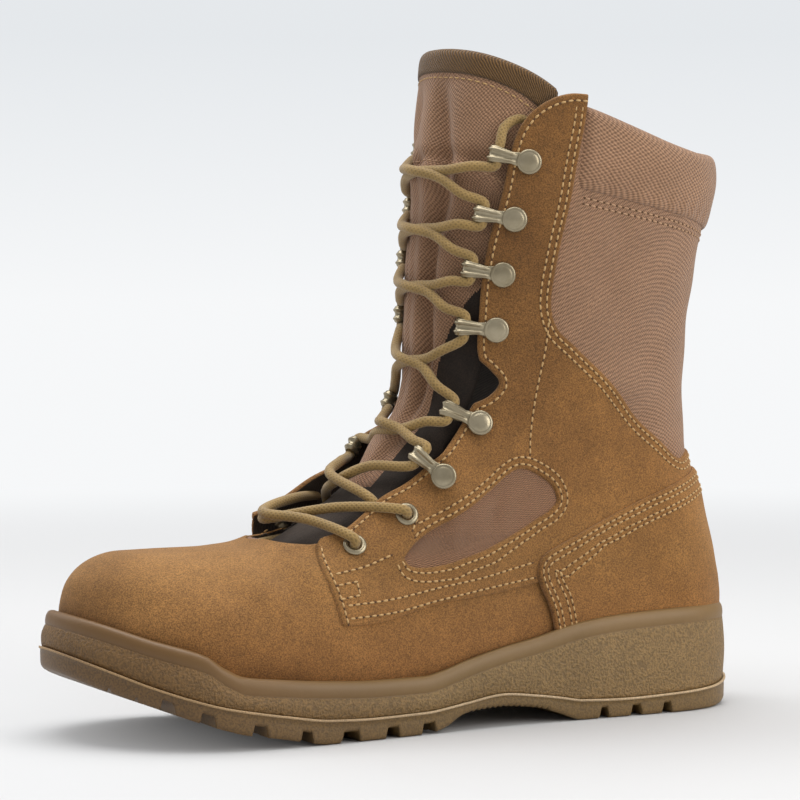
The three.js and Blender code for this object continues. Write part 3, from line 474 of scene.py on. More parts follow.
def weave(name, dark, light, pitch, slant=False, depth=0.25, patch=0.12):
    """Woven cloth on UVs in metres: the product of two sines is a plain weave's over and under,
    and one sine along both is a twill's rib."""
    m, nodes, links, main = shader(name, 0.88, sheen=0.15)
    uv = nodes.new("ShaderNodeUVMap")
    uv.uv_map = "UVMap"
    split = nodes.new("ShaderNodeSeparateXYZ")
    links.new(uv.outputs[0], split.inputs[0])
    rate = 2 * math.pi / (pitch * MM)
    shift_u = calc(nodes, links, "MULTIPLY", noise(nodes, links, uv.outputs[0], 0.30, 2), 3.6)
    shift_v = calc(nodes, links, "MULTIPLY", noise(nodes, links, uv.outputs[0], 0.37, 2), 3.6)
    u = calc(nodes, links, "ADD", calc(nodes, links, "MULTIPLY", split.outputs[0], rate), shift_u)
    v = calc(nodes, links, "ADD", calc(nodes, links, "MULTIPLY", split.outputs[1], rate), shift_v)
    if slant:
        wave = calc(nodes, links, "SINE", calc(nodes, links, "ADD", u, v))
    else:
        wave = calc(nodes, links, "MULTIPLY", calc(nodes, links, "SINE", u), calc(nodes, links, "SINE", v))
    height = calc(nodes, links, "ADD", calc(nodes, links, "MULTIPLY", wave, 0.5), 0.5)
    color = ramp(nodes, links, height, [(0.12, dark), (0.75, light)])
    patchy = ramp(nodes, links, noise(nodes, links, uv.outputs[0], 0.05, 4, 0.6),
                  [(0.3, (1 - patch,) * 3), (0.7, (1, 1, 1))])
    thread = ramp(nodes, links, noise(nodes, links, uv.outputs[0], 1.3, 2), [(0.3, (0.82,) * 3), (0.7, (1.08,) * 3)])
    color = blend_color(nodes, links, "MULTIPLY", 1.0, color, patchy)
    color = blend_color(nodes, links, "MULTIPLY", 1.0, color, thread)
    place = nodes.new("ShaderNodeSeparateXYZ")
    links.new(nodes.new("ShaderNodeTexCoord").outputs["Object"], place.inputs[0])
    # the cloth darker and warmer below about 0.1 m up
    position_tint = ramp(nodes, links, calc(nodes, links, "MULTIPLY", place.outputs[2], 5.0),
                  [(0.50, (0.84, 0.76, 0.68)), (0.60, (1, 1, 1))])
    color = blend_color(nodes, links, "MULTIPLY", 1.0, color, position_tint)
    links.new(color, main.inputs["Base Color"])
    links.new(bump(nodes, links, height, depth), main.inputs["Normal"])
    return m


CORDURA = weave("woven_nylon", (0.172, 0.088, 0.045), (0.400, 0.222, 0.122), 1.75, depth=0.4)
LINING = weave("dark_lining", (0.020, 0.014, 0.010), (0.060, 0.044, 0.032), 1.1, depth=0.15)


def suede(name, dark, light, nap=1.0):
    """Napped leather: two scales of blotch, a fine grain, and a nap that catches the edge light."""
    m, nodes, links, main = shader(name, 0.93, sheen=0.21 * nap)
    main.inputs["Sheen Tint"].default_value = (0.8, 0.55, 0.3, 1)
    at = nodes.new("ShaderNodeTexCoord").outputs["Object"]
    broad = ramp(nodes, links, noise(nodes, links, at, 0.022, 5, 0.6), [(0.3, dark), (0.68, light)])
    small = ramp(nodes, links, noise(nodes, links, at, 0.16, 5, 0.65), [(0.28, (0.86,) * 3), (0.72, (1.1,) * 3)])
    grain_value = noise(nodes, links, at, 1.7, 3, 0.75)
    grain = ramp(nodes, links, grain_value, [(0.39, (0.50, 0.485, 0.46)), (0.61, (1.50, 1.52, 1.55))])
    color = blend_color(nodes, links, "MULTIPLY", 1.0, broad, small)
    color = blend_color(nodes, links, "MULTIPLY", 0.85, color, grain)
    height = nodes.new("ShaderNodeSeparateXYZ")
    links.new(at, height.inputs[0])
    # painted light and shade by height: the low vamp a little redder, the vamp's top a little lighter under the
    # overhead light, and the facings up the shaft darker, as painted shade where they turn from the light
    painted_light_by_height = ramp(nodes, links, calc(nodes, links, "MULTIPLY", height.outputs[2], 1 / 0.28),
                   [(0.08, (1.08, 1.0, 1.0)), (0.24, (1.02, 1.04, 1.06)),
                    (0.38, (0.98, 0.96, 0.94)), (0.64, (0.75, 0.71, 0.63))])
    color = blend_color(nodes, links, "MULTIPLY", 1.0, color, painted_light_by_height)
    # painted light: the suede lighter towards the heel, where the light from behind falls on it
    painted_light_at_heel = ramp(nodes, links, calc(nodes, links, "ADD", calc(nodes, links, "MULTIPLY", height.outputs[0], 4.0), 0.2),
                  [(0.1, (1.16, 1.13, 1.06)), (0.55, (1, 1, 1))])
    color = blend_color(nodes, links, "MULTIPLY", 1.0, color, painted_light_at_heel)
    links.new(color, main.inputs["Base Color"])
    soft = bump(nodes, links, noise(nodes, links, at, 0.25, 4, 0.6), 0.5, strength=0.5)
    links.new(bump(nodes, links, grain_value, 0.22 * nap, soft), main.inputs["Normal"])
    return m


SUEDE = suede("tan_suede", (0.176, 0.078, 0.018), (0.256, 0.121, 0.032))
RAW_EDGE = suede("cut_edge", (0.225, 0.108, 0.036), (0.330, 0.170, 0.066))

shell_turns, shell_rows = 300, np.linspace(0, 15.6, 190)
turns = crowd(np.arange(shell_turns) / shell_turns)
middles = crowd((np.arange(shell_turns) + 0.5) / shell_turns)
t, r = np.meshgrid(turns, shell_rows)
shell_outer = upper_point(r, t, -1.1 - 0.9 * ease(8 - r, 0, 1.5) * ease(np.abs(0.5 - t), 0.25, 0.1))
shell_inner = upper_point(r, t, -2.6)
for skin in (shell_outer, shell_inner):
    skin[:, 150] = (skin[:, 149] + skin[:, 151]) / 2
shell_outer, shell_inner = shell_outer.reshape(-1, 3), shell_inner.reshape(-1, 3)
THROAT = [  # x, z down the facing's free edge; the notch is where the shaft bends
    [(46.7, 262.2), (54, 262.4), (61.5, 260.4), (69.5, 255.2), (74.6, 248.2), (77.6, 240), (81.7, 220.5),
     (86.6, 201.1), (89, 185), (90, 168.8), (90.4, 156), (89.6, 151.5)],
    [(89.6, 151.5), (85, 146.8), (82, 142.2), (86, 136.8), (92, 133.9)],
    [(92, 133.9), (99, 123.6), (110.5, 110.6), (121, 102.2), (132.1, 96), (143, 88.2), (152, 82.6), (160.5, 80)],
]
throat_line = np.vstack([curve_through(run, 1.0) for run in THROAT])
throat_gap = np.vstack([throat_line, [(168, 78.4), (177, 79.4), (184, 92), (190, 320), (40, 320)]])
centres = face(*(c.ravel() for c in np.meshgrid((shell_rows[1:] + shell_rows[:-1]) / 2, middles, indexing="ij")))
COLLAR_TURN = 0.2975  # how far round from the heel the collar reaches on each side
side_view = centres[:, [0, 2]]
open_cells = inside(side_view, [throat_gap]) | (nearest(side_view, throat_line) < 1.6)
cell_turn = np.tile(middles, len(shell_rows) - 1)
cell_row = np.repeat((shell_rows[1:] + shell_rows[:-1]) / 2, shell_turns)
from_heel = np.minimum(cell_turn, 1 - cell_turn)
open_cells |= (cell_row > 14.25 + 0.29 * (from_heel / COLLAR_TURN) ** 1.5) & (from_heel < 0.284)
sheet_quads = quads(len(shell_rows), shell_turns, wrap_columns=True)[~open_cells]
n = len(shell_outer)
arc = grid_lengths(face(r, t))
seam_edges = {}
for quad in sheet_quads:
    for a, b in zip(quad, np.roll(quad, -1)):
        if (b, a) in seam_edges:
            del seam_edges[(b, a)]
        else:
            seam_edges[(a, b)] = 1
rim = np.array([(b, a, a + n, b + n) for a, b in seam_edges])
shell_faces = np.vstack([sheet_quads, sheet_quads[:, ::-1] + n, rim])
kinds = np.r_[np.zeros(len(sheet_quads), int), np.ones(len(sheet_quads) + len(rim), int)]
shell = build("shell", np.vstack([shell_outer, shell_inner]), shell_faces, [CORDURA, LINING],
              np.vstack([arc, arc]) * [0.62, 1], kinds)
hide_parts("upper")

# ---------------------------------------------------------------------------------------------
# Vamp: one piece of suede over the toe and along the sides, sewn under the quarter.
# ---------------------------------------------------------------------------------------------
mirror = lambda line: np.stack([1 - line[::-1, 0], line[::-1, 1]], -1)
vamp_side = np.vstack([
    np.stack([np.linspace(0.5, 0.10, 120), np.full(120, 0.25)], -1),
    to_turn_row(curve_through([(46, 44), (46, 60), (52, 63.5), (63, 64), (86, 60.5), (111, 58),
                               (137, 52.6), (149, 52.5)], 1.0)),
    to_turn_row(curve_through([(152, 55), (154, 64), (153, 74), (152, 80)], 1.0)),
    to_turn_row(curve_through([(153.5, 81.2), (158, 79.9), (164, 79.0), (170, 79.2)], 1.0)),
])
throat_base = curve_through([vamp_side[-1], (0.470, 6.40), (0.487, 6.36), (0.5, 6.35)], 0.002)
vamp_side = np.vstack([vamp_side, throat_base[1:]])
vamp_loop = np.vstack([vamp_side[:-1], mirror(vamp_side)[:-1]])
panel("vamp", [vamp_loop], -1.0, 1.2, [SUEDE, LINING], 1.6)

# ---------------------------------------------------------------------------------------------
# Quarter and facings: one piece of suede from one throat edge round the heel to the other, with a
# leaf-shaped window on each side where the woven nylon shows.
# ---------------------------------------------------------------------------------------------
signed = lambda line: np.stack([-line[::-1, 0], line[::-1, 1]], -1)
nylon_edge = curve_through([(-27.2, 112), (-21, 110.5), (-11.8, 108.5), (0, 116), (12.2, 124.4),
                            (25, 136), (37.6, 147.3), (50, 157.5), (58, 164.5), (61, 172), (61.2, 180), (58.6, 197), (54.5, 216), (51, 235),
                            (47.6, 252), (46.7, 262.2)], 1.0)
lower_edge = curve_through([(160.2, 46), (149, 45.8), (137.6, 46.9), (124, 50), (111.2, 52.6),
                            (98, 53.6), (85.8, 54.9), (74, 56.6), (63.4, 58.3), (52, 60), (30, 61), (0, 60), (-25, 58.5), (-41, 58)], 1.0)
front_edge = curve_through([(160.5, 80), (163.8, 77), (165.2, 71.5), (164.4, 65.1), (162.6, 58), (161, 50),
                            (160.2, 46)], 1.0)
quarter_side = np.vstack([nylon_edge[:-1], throat_line[:-1], front_edge[:-1], lower_edge])
quarter_rt = to_turn_row(quarter_side)


def draw_in(rt):
    """The inner facing reaches nearer the ridge over the instep than the outer one."""
    gap = 0.5 - rt[:, 0]
    pull = 0.5 * gap * np.exp(-(gap / 0.09) ** 2) * ease(rt[:, 1], 5.9, 6.7) * (1 - ease(rt[:, 1], 9.0, 10.6))
    return rt + np.stack([pull, np.zeros(len(rt))], -1)


def sprung(p):
    """How far the facings stand off the last: the inner one is pushed up over the instep."""
    away = nearest(p, inner_edge)
    amount = 8.5 * np.exp(-(away / 13) ** 2) * ease(p[:, 2], 72, 79) * (1 - ease(p[:, 2], 112, 132)) * (p[:, 1] < 6)
    return amount + 0.9 * np.exp(-(nearest(p, outer_edge) / 6) ** 2)


throat_rt = to_turn_row(throat_line)
outer_edge = face(throat_rt[:, 1], throat_rt[:, 0])
inner_rt = draw_in(throat_rt)
inner_edge = face(inner_rt[:, 1], -inner_rt[:, 0])
quarter_loop = np.vstack([quarter_rt, signed(draw_in(quarter_rt))])
seams = np.r_[True, np.linalg.norm(np.diff(quarter_loop * [TURN_MM, ROW_MM], axis=0), axis=1) > 0.05]
quarter_loop = quarter_loop[seams]
VENT = [(128.5, 71.8), (126.6, 69), (121, 67.6), (110, 68.4), (99.3, 71), (90, 73.6), (82.2, 76.8), (73, 80.9),
        (64.7, 85.2), (57.8, 89), (54.8, 92.8), (57, 98.2), (64, 103.2), (71, 106), (76, 105.4), (87.1, 97.6),
        (98, 90.8), (109.2, 85.2), (117, 81.2), (123.7, 76.6), (128.5, 71.8)]
vent_line = curve_through(VENT, 1.0)
vent_rt = to_turn_row(vent_line[:-1])
panel("quarter", [quarter_loop, vent_rt, vent_rt * [-1, 1]], 0.15, 2.3, [SUEDE, LINING, RAW_EDGE],
      1.8, 0.9, sprung)

# ---------------------------------------------------------------------------------------------
# Heel counter: moulded suede stiffener, sewn over the quarter, its foot held by the midsole.
# ---------------------------------------------------------------------------------------------
counter_edge = curve_through([(-29.2, 104), (-20, 101.8), (-10.3, 98.9), (1, 95.4), (13, 91.3),
                              (23, 87.4), (33.5, 83.1), (46, 77.6), (56, 73.2), (61, 70.8), (64, 67.6), (65, 63), (63.8, 58), (61.4, 53),
                              (59, 47.5), (57.5, 42), (56.5, 37)], 1.0)
counter_foot = curve_through([(56.5, 37), (30, 40), (0, 41), (-30, 40.5), (-41, 40)], 1.0)
counter_rt = to_turn_row(np.vstack([counter_edge, counter_foot[1:]]))
counter_loop = np.vstack([counter_rt, signed(counter_rt)])
counter_loop = counter_loop[np.r_[True, np.linalg.norm(np.diff(counter_loop * [TURN_MM, ROW_MM], axis=0), axis=1) > 0.05]]
counter = panel("heel_counter", [counter_loop], 1.75, 1.8, [SUEDE, LINING, RAW_EDGE], 1.8, 1.0)
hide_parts("heel_counter")

# ---------------------------------------------------------------------------------------------
# Back stay: dark webbing up the back seam, from the suede to the collar.
# ---------------------------------------------------------------------------------------------
WEBBING = weave("webbing", (0.040, 0.024, 0.013), (0.095, 0.060, 0.034), 1.3, depth=0.2)
stay_u, stay_v = np.meshgrid(np.linspace(-1, 1, 25), np.linspace(8.9, 13.95, 90))
stay_out = -1.0 + 1.2 * np.sqrt(np.clip(1 - np.abs(stay_u) ** 8, 0, 1))
stay = upper_point(stay_v, stay_u * 0.0125, stay_out)
stay_low = upper_point(stay_v, stay_u * 0.0125, -1.6)
stay_loop = np.concatenate([stay, stay_low[:, ::-1]], axis=1)
n = stay_loop.shape[1]
ends = [np.arange(n // 2), np.arange(n // 2)]
cap = np.array([(i, i + 1, n - 2 - i, n - 1 - i) for i in range(n // 2 - 1)])
stay_faces = np.vstack([quads(90, n, wrap_columns=True), cap[:, ::-1], cap + 89 * n])
build("back_stay", stay_loop.reshape(-1, 3), stay_faces, [WEBBING], grid_lengths(stay_loop))

# ---------------------------------------------------------------------------------------------
# Collar: foam in woven nylon, a soft roll round the back between the two facings.
# ---------------------------------------------------------------------------------------------
ROLL = [  # row above the seam, distance out of the last
    (0.02, -1.2), (0.03, -0.55), (0.12, 0.0), (0.34, 0.5), (0.75, 1.1), (1.2, 1.35), (1.6, 1.05), (1.88, 0.2), (2.02, -1.3),
    (2.06, -2.9), (2.0, -4.7), (1.8, -6.1), (1.4, -6.9), (0.9, -7.1), (0.45, -6.5), (0.15, -5.2), (0.02, -3.2),
]
roll = curve_through([(a * ROW_MM, b) for a, b in ROLL + ROLL[:1]], 0.9)[:-1] / [ROW_MM, 1]
collar_t = np.linspace(-COLLAR_TURN, COLLAR_TURN, 260)
cr, ct = np.meshgrid(roll[:, 0], collar_t)
co = np.broadcast_to(roll[:, 1], cr.shape)
tuck = ease(COLLAR_TURN - np.abs(ct), 0, 0.016)
thin = -2.4 + (co + 2.4) * (0.35 + 0.65 * tuck) - 0.9 * (1 - tuck)
puckers = 0.22 * np.sin(ct * 2 * np.pi * 46 + 1.7 * np.sin(ct * 40)) * np.exp(-((cr - 0.3) / 0.3) ** 2) * (co > -1)
dents = 0.35 * np.sin(ct * 31 + cr * 2.2) * np.sin(cr * 2.4 + ct * 17)
forward = np.abs(ct) / COLLAR_TURN
seam_row = 14 + 0.29 * forward ** 1.5
top_row = 15.72 - 0.27 * np.sin(np.pi * forward) + 0.12 * forward ** 2 + 0.03 * np.sin(ct * 25 + 0.6)
collar_grid = upper_point(seam_row + cr / 2.04 * (top_row - seam_row), ct, thin + puckers + dents * tuck)
n = collar_grid.shape[1]
mids = np.array([collar_grid[0].mean(0), collar_grid[-1].mean(0)])
last = (len(collar_t) - 1) * n
caps = np.array([((i + 1) % n, i, len(collar_t) * n) for i in range(n)]
                + [(last + i, last + (i + 1) % n, len(collar_t) * n + 1) for i in range(n)])
collar_uv = grid_lengths(collar_grid)[:, ::-1] * [0.62, 1]
collar = build("collar", np.vstack([collar_grid.reshape(-1, 3), mids]), [quads(len(collar_t), n, wrap_columns=True), caps],
               [CORDURA], np.vstack([collar_uv, [[0, 0], [0, 0]]]))
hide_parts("collar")

# ---------------------------------------------------------------------------------------------
# Tongue: foam between woven nylon, painted near-black as shade at its sides and low down, where it
# folds under the facings, a quilted seam across it below the top and a twill binding over the top edge.
# ---------------------------------------------------------------------------------------------
TONGUE_BASE, QUILT_ROW, BIND_ROW = 6.3, 14.55, 0.72


def tongue_point(v, s, under):
    """v runs from base to top, s from -1 to 1 across; under gives the foot-side face. The outer face
    swells out of the throat, its rim is round and its quilted seam a Gaussian trough."""
    top = LAST_ROW - 0.9 * np.abs(s) ** 3
    row = TONGUE_BASE + (top - TONGUE_BASE) * v
    reach = 0.105 + 0.075 * ease(row, 7, LAST_ROW)
    opening = ease(row, 8.5, 11.5)
    swell = 1 - ease(np.abs(s), 0.1 + 0.3 * opening, 0.34 + 0.36 * opening)
    base = -2.6 - 0.5 - 0.9 * (1 - ease(row, 10.5, 12))
    outer = base + ease(row, 7.8, 9.6) * swell * (-0.4 - base)
    outer = outer - 1.9 * np.exp(-((row - QUILT_ROW - 0.1 * np.sin(s * 5)) / 0.16) ** 2) * (np.abs(s) < 2)
    outer = outer - 3.5 * (1 - ease(row, 7.6, 9.6)) * np.exp(-(s / 0.7) ** 2)
    gathers = 1.3 * np.sin(s * 21 + 0.9 * np.sin(row * 3))
    outer = outer + gathers * np.exp(-(np.abs(row - QUILT_ROW) / 0.6) ** 1.5) * (1 - s ** 2)
    fold = np.abs(s) - 0.27 - 0.04 * np.sin(row * 1.9) + 0.05 * ease(row, 14, 16)
    outer = outer - np.where(s > 0, 5.0, 2.6) * np.exp(-(fold / 0.085) ** 2) * ease(row, 9.3, 10.5) * (1 - ease(row, 15.3, 16.4))
    outer = outer + 1.1 * np.exp(-((np.abs(s) - 0.12) / 0.1) ** 2) * ease(row, 9.6, 11) * (1 - ease(row, 13.6, 14.4))
    outer = outer + 0.4 * np.sin(row * 2.3 + s * 3) * np.cos(s * 4) * ease(row, 9, 11)
    outer = outer - 3.1 * ease(row, 9.2, 10.4) * (1 - ease(row, 13.8, 14.5)) * np.exp(-(s / 0.62) ** 4)
    edge = np.sqrt(np.clip(1 - np.abs(s) ** 14, 0, 1)) * np.sqrt(np.clip(1 - v ** 90, 0, 1))
    thick = 5.2 * (0.35 + 0.65 * ease(row, TONGUE_BASE, 8)) * edge
    middle = outer - 2.6
    shift = np.where(under, -0.5, 0.5) * thick
    return upper_point(row, 0.5 - reach * s, middle + shift)


tv = 1 - (1 - np.linspace(0, 1, 230)) ** 1.3
ts = np.sin(np.linspace(-np.pi / 2, np.pi / 2, 170))
tsg, tvg = np.meshgrid(ts, tv)
tongue_top = tongue_point(tvg, tsg, False)
tongue_low = tongue_point(tvg, tsg, True)
tongue_loop = np.concatenate([tongue_top, tongue_low[:, ::-1]], axis=1)
n = tongue_loop.shape[1]
cap = np.array([(i, i + 1, n - 2 - i, n - 1 - i) for i in range(n // 2 - 1)])
base_row = quads(len(tv), n, wrap_columns=True)
tongue_faces = np.vstack([base_row, cap[:, ::-1], cap + (len(tv) - 1) * n])
column = np.tile(np.arange(n), len(tv) - 1)
row_of = np.repeat(tv[:-1], n)
is_low = column >= n // 2
# painted shade: a near-black suede stands for the shadow on the tongue's sides, where the cloth folds under the
# facings, and on its lowest part deep in the throat
PAINTED_SHADE_SUEDE = suede("tongue_painted_shade", (0.014, 0.009, 0.006), (0.032, 0.020, 0.013), 0.2)
shade_limit = 0.50 + 0.5 * ease(row_of, 0.42, 0.70)
side = np.abs(np.where(is_low, 0, ts[np.minimum(column, len(ts) - 1)])) > shade_limit
shaded_low_part = row_of < 0.185
kinds = np.r_[np.where(is_low, 1, np.where(side | shaded_low_part, 2, 0)), np.zeros(len(cap) * 2, int)]
tongue = build("tongue", tongue_loop.reshape(-1, 3), tongue_faces, [CORDURA, LINING, PAINTED_SHADE_SUEDE],
               grid_lengths(tongue_loop), kinds)
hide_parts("tongue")

BINDING = weave("binding_twill", (0.062, 0.028, 0.004), (0.158, 0.075, 0.012), 1.5, slant=True, depth=0.35)
top_v = 1 - (BIND_ROW / (LAST_ROW - TONGUE_BASE))
path = [(v, False) for v in np.linspace(top_v, 1, 26)] + [(v, True) for v in np.linspace(1, top_v, 26)[1:]]
bs = np.linspace(-1.0, 1.0, 150)
bind = np.stack([tongue_point(np.full(150, v), bs, under) for v, under in path])
du = np.gradient(bind, axis=0)
dv = np.gradient(bind, axis=1)
normal = np.cross(dv, du)
normal /= np.linalg.norm(normal, axis=-1, keepdims=True) + 1e-9
normal = np.where(np.isfinite(normal), normal, 0)
mid = bind.mean(axis=(0,), keepdims=True)
outward = np.sign(((bind - mid) * normal).sum(-1).mean()) or 1
lip = np.sqrt(np.clip(1 - np.abs(np.linspace(-1, 1, len(path))) ** 18, 0, 1))[:, None, None]
bind_out = bind + outward * normal * (0.75 * lip + 0.02)
bind_in = bind - outward * normal * 0.4
bind_loop = np.concatenate([bind_out, bind_in[::-1]], axis=0)
m, n = bind_loop.shape[:2]
side_a = np.array([(i * n, (i + 1) * n, (m - 2 - i) * n, (m - 1 - i) * n) for i in range(m // 2 - 1)])
bind_faces = np.vstack([quads(m, n, wrap_rows=True), side_a, side_a[:, ::-1] + n - 1])
build("tongue_binding", bind_loop.reshape(-1, 3), bind_faces, [BINDING], grid_lengths(bind_loop))
# ---------------------------------------------------------------------------------------------
# Insole: dark foam under cloth, lying loose on the midsole's floor inside the shell.
# ---------------------------------------------------------------------------------------------
ring_turns = np.arange(360) / 360


def cross_strips(n, start):
    """Quads that close a ring of n points, joining each point to the one across the boot."""
    return np.array([(start + i, start + i + 1, start + (n - i - 1) % n, start + (n - i) % n) for i in range(n // 2)])


def ring_stack(rings):
    """A closed skin over rings of equal length, its two ends closed straight across."""
    count, n = len(rings), len(rings[0])
    verts = np.vstack(rings)
    strips = cross_strips(n, 0)
    middle = strips[1:-1]
    tips = np.array([strips[0][[0, 1, 2]], strips[-1][[0, 1, 3]]])
    return verts, [quads(count, n, wrap_columns=True), middle[:, ::-1], middle + (count - 1) * n,
                   tips[:, ::-1], tips + (count - 1) * n]


base_ring = face(0, ring_turns)
base_out = np.cross(np.gradient(base_ring, axis=0), [0, 0, 1.0])
base_out /= np.linalg.norm(base_out, axis=1, keepdims=True)
base_out[[0, 180]] = [[-1, 0, 0], [1, 0, 0]]
foot_rings = [base_ring - base_out * reach + [0, 0, height]
              for reach, height in ((3.3, 0.4), (2.8, 1.2), (2.8, 3.2), (3.3, 3.9), (4.2, 4.1))]
FOAM = weave("insole_cloth", (0.030, 0.024, 0.018), (0.075, 0.058, 0.042), 1.4, depth=0.15)
verts, faces = ring_stack(foot_rings)
insole = build("insole", verts, faces, [FOAM], verts[:, :2])
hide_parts("insole")

# ---------------------------------------------------------------------------------------------
# Midsole: one moulding of tan polyurethane, stippled on its wall, with a smooth bead round its
# top that grips the leather.
# ---------------------------------------------------------------------------------------------


def sole_point(inset, height, t, w=1.0, toe=0.0):
    """A point of a sole level: its plan, rounded at heel and toe by superellipses, drawn in by
    inset, at a height that follows the length; w takes it in towards the ridge line and toe draws
    the front end back."""
    back, front = HEEL_BACK + inset, TOE_TIP - inset - toe
    x = back + (front - back) * (1 - np.cos(2 * np.pi * t)) / 2
    outer = t <= 0.5
    ridge = ridge_y(x)
    plan = np.where(outer, sole_out(x) - ridge, sole_in(x) + ridge)
    ends = rounded(x - back, 44, 2.3) * rounded(front - x, 58, 2.2)
    half = np.maximum(plan - inset, 0) * np.where(np.isin(t, (0, 0.5)), 0, ends) * w
    return np.stack([x, ridge + np.where(outer, half, -half), height(x)], -1)


midsole_turns = np.arange(520) / 520
wall = [(0.95, lambda x: seam_z(x) + 0.05, 0), (0.6, lambda x: seam_z(x) + 0.5, 0.1)]
for share in np.linspace(0.03, 1, 15):
    wall.append((0.55 - 0.75 * math.sin(math.pi * share) + 0.25 * share,
                 lambda x, share=share: seam_z(x) + 0.9 + (lip_z(x) - 7.8 - seam_z(x)) * share, 1.2 * share))
bead = [(0.98, -6.9), (0.80, -6.5), (0.70, -5.7), (0.66, -4.6), (0.74, -3.5), (0.95, -2.5),
        (1.3, -1.6), (1.8, -0.85), (2.5, -0.3), (3.4, 0)]
wall += [(inset, lambda x, drop=drop: lip_z(x) + drop, 1.3 + (6.6 + drop) * 0.1) for inset, drop in bead]
rings = [sole_point(inset, height, midsole_turns, toe=toe) for inset, height, toe in wall]
low, high = np.zeros(520), np.full(520, 6.0)
for _ in range(30):
    row = (low + high) / 2
    p = face(row, midsole_turns)
    under = p[:, 2] < lip_z(p[:, 0]) - 0.9
    low, high = np.where(under, row, low), np.where(under, high, row)
rings.append(rings[-1] * 0.35 + upper_point(row, midsole_turns, 1.2) * 0.65 + [0, 0, -0.05])
rings += [upper_point(row * share, midsole_turns, -1.0) for share in (1, 0.7, 0.4, 0.15, 0)]
verts, faces = ring_stack(rings)
wall_count = 2 + 15
kinds = np.zeros(sum(len(f) for f in faces), int)
kinds[(wall_count - 1) * 520:len(faces[0])] = 1


def rubber(name, dark, light, grain_mm, depth, gloss=0.62):
    """Moulded rubber: slow blotches, and a pebbled skin of noise grains."""
    m, nodes, links, main = shader(name, gloss)
    at = nodes.new("ShaderNodeTexCoord").outputs["Object"]
    color = ramp(nodes, links, noise(nodes, links, at, 0.03, 4, 0.6), [(0.3, dark), (0.7, light)])
    if depth:
        pebble = noise(nodes, links, at, 1 / grain_mm, 2, 0.5)
        worn = ramp(nodes, links, pebble, [(0.36, (0.70,) * 3), (0.62, (1.22,) * 3)])
        color = blend_color(nodes, links, "MULTIPLY", 1.0, color, worn)
        links.new(bump(nodes, links, pebble, depth), main.inputs["Normal"])
    else:
        links.new(bump(nodes, links, noise(nodes, links, at, 0.3, 4, 0.6), 0.12), main.inputs["Normal"])
    length = nodes.new("ShaderNodeSeparateXYZ")
    links.new(at, length.inputs[0])
    # painted light and shade along the length: the rubber lighter at the heel, where the light from behind falls, and
    # darker and warmer towards the toe, which is turned from it
    position_tint = ramp(nodes, links, calc(nodes, links, "MULTIPLY", length.outputs[0], 4.0),
                  [(0.0, (1.08, 1.06, 1.03)), (0.45, (1, 1, 1)), (0.95, (0.78, 0.66, 0.49))])
    links.new(blend_color(nodes, links, "MULTIPLY", 1.0, color, position_tint), main.inputs["Base Color"])
    return m


STIPPLED = rubber("stippled_polyurethane", (0.176, 0.106, 0.036), (0.215, 0.132, 0.048), 1.0, 0.9)
SMOOTH_PU = rubber("smooth_polyurethane", (0.160, 0.091, 0.026), (0.187, 0.108, 0.034), 1, 0, 0.5)
midsole = build("midsole", verts, faces, [STIPPLED, SMOOTH_PU], None, kinds)
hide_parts("midsole")

# ---------------------------------------------------------------------------------------------
# Outsole: moulded rubber tread, cemented under the midsole, its lugs parted by side grooves, two
# long channels and short cross grooves, the arch ribbed; a thin flash line runs along the joint.
# ---------------------------------------------------------------------------------------------
# x, width, slant in degrees, depth of the grooves that run in from each edge
SIDE_GROOVES = [
    (254, 1.1, 14, 1.6), (244, 1.1, 12, 1.8), (233, 5, 9, 4.3), (218.6, 5.5, 7, 4.3), (198.5, 6, 4, 4.3), (179, 5, 1, 4.3),
    (159.5, 8, -2, 4.3), (139.5, 6, -5, 4.3), (121.5, 6.5, -7, 4.3), (34, 4, 5, 4.3), (18, 5, 2, 4.3), (2.4, 4.4, -3, 4.3),
]


def box_share(x, y, cx, cy, wide, long, degrees):
    """1 inside a turned box, falling to 0 over half a millimetre at its edges."""
    a = math.radians(degrees)
    u = (x - cx) * math.cos(a) + (y - cy) * math.sin(a)
    v = -(x - cx) * math.sin(a) + (y - cy) * math.cos(a)
    return ease(np.minimum(wide / 2 - np.abs(u), long / 2 - np.abs(v)), -0.35, 0.35)


def groove_depth(x, y):
    """How far the tread is cut up at a point of its plan: the deepest of the grooves there."""
    ridge = ridge_y(x)
    cut = np.zeros(x.shape)
    for gx, width, slant, depth in SIDE_GROOVES:
        edge = 19 if gx > 60 else 15
        for side in (1, -1):
            middle_y = ridge_y(gx) + side * (edge + 25)
            cut = np.maximum(cut, depth * box_share(x, y, gx, middle_y, width, 50, -slant * side))
    for side in (1, -1):
        cut = np.maximum(cut, 4.3 * box_share(x, y, 175, -2.5 + side * 18.5, 124, 4.4, -3.4))
        cut = np.maximum(cut, 4.3 * box_share(x, y, 22, side * 15, 54, 4, 0))
    for gx in (228, 208, 188.5, 169.5, 149.5, 130.5):
        cut = np.maximum(cut, 4.3 * box_share(x, y, gx, ridge_y(gx), 4.2, 36, 0))
    for gx in (43, 26, 10):
        cut = np.maximum(cut, 4.3 * box_share(x, y, gx, 0, 4, 30, 0))
    ribs = 0.9 * (0.5 + 0.5 * np.cos(2 * np.pi * x / 2.7)) * ease(x, 58, 63) * (1 - ease(x, 98, 104))
    return np.maximum(cut, ribs)


stations = np.linspace(0, 0.5, 541)
weights = np.linspace(-1, 1, 97)


def edge_line(inset, height, side, cut=None):
    """One lengthwise line of the outsole's side wall, lifted where a groove runs out through it."""
    t = stations if side > 0 else (1 - stations) % 1
    t = np.where(stations == 0, 0, np.where(stations == 0.5, 0.5, t))
    p = sole_point(inset, height, t)
    if cut is not None:
        p[:, 2] = np.maximum(p[:, 2], tread_z(p[:, 0]) + groove_depth(p[:, 0], p[:, 1]) + cut)
    return p


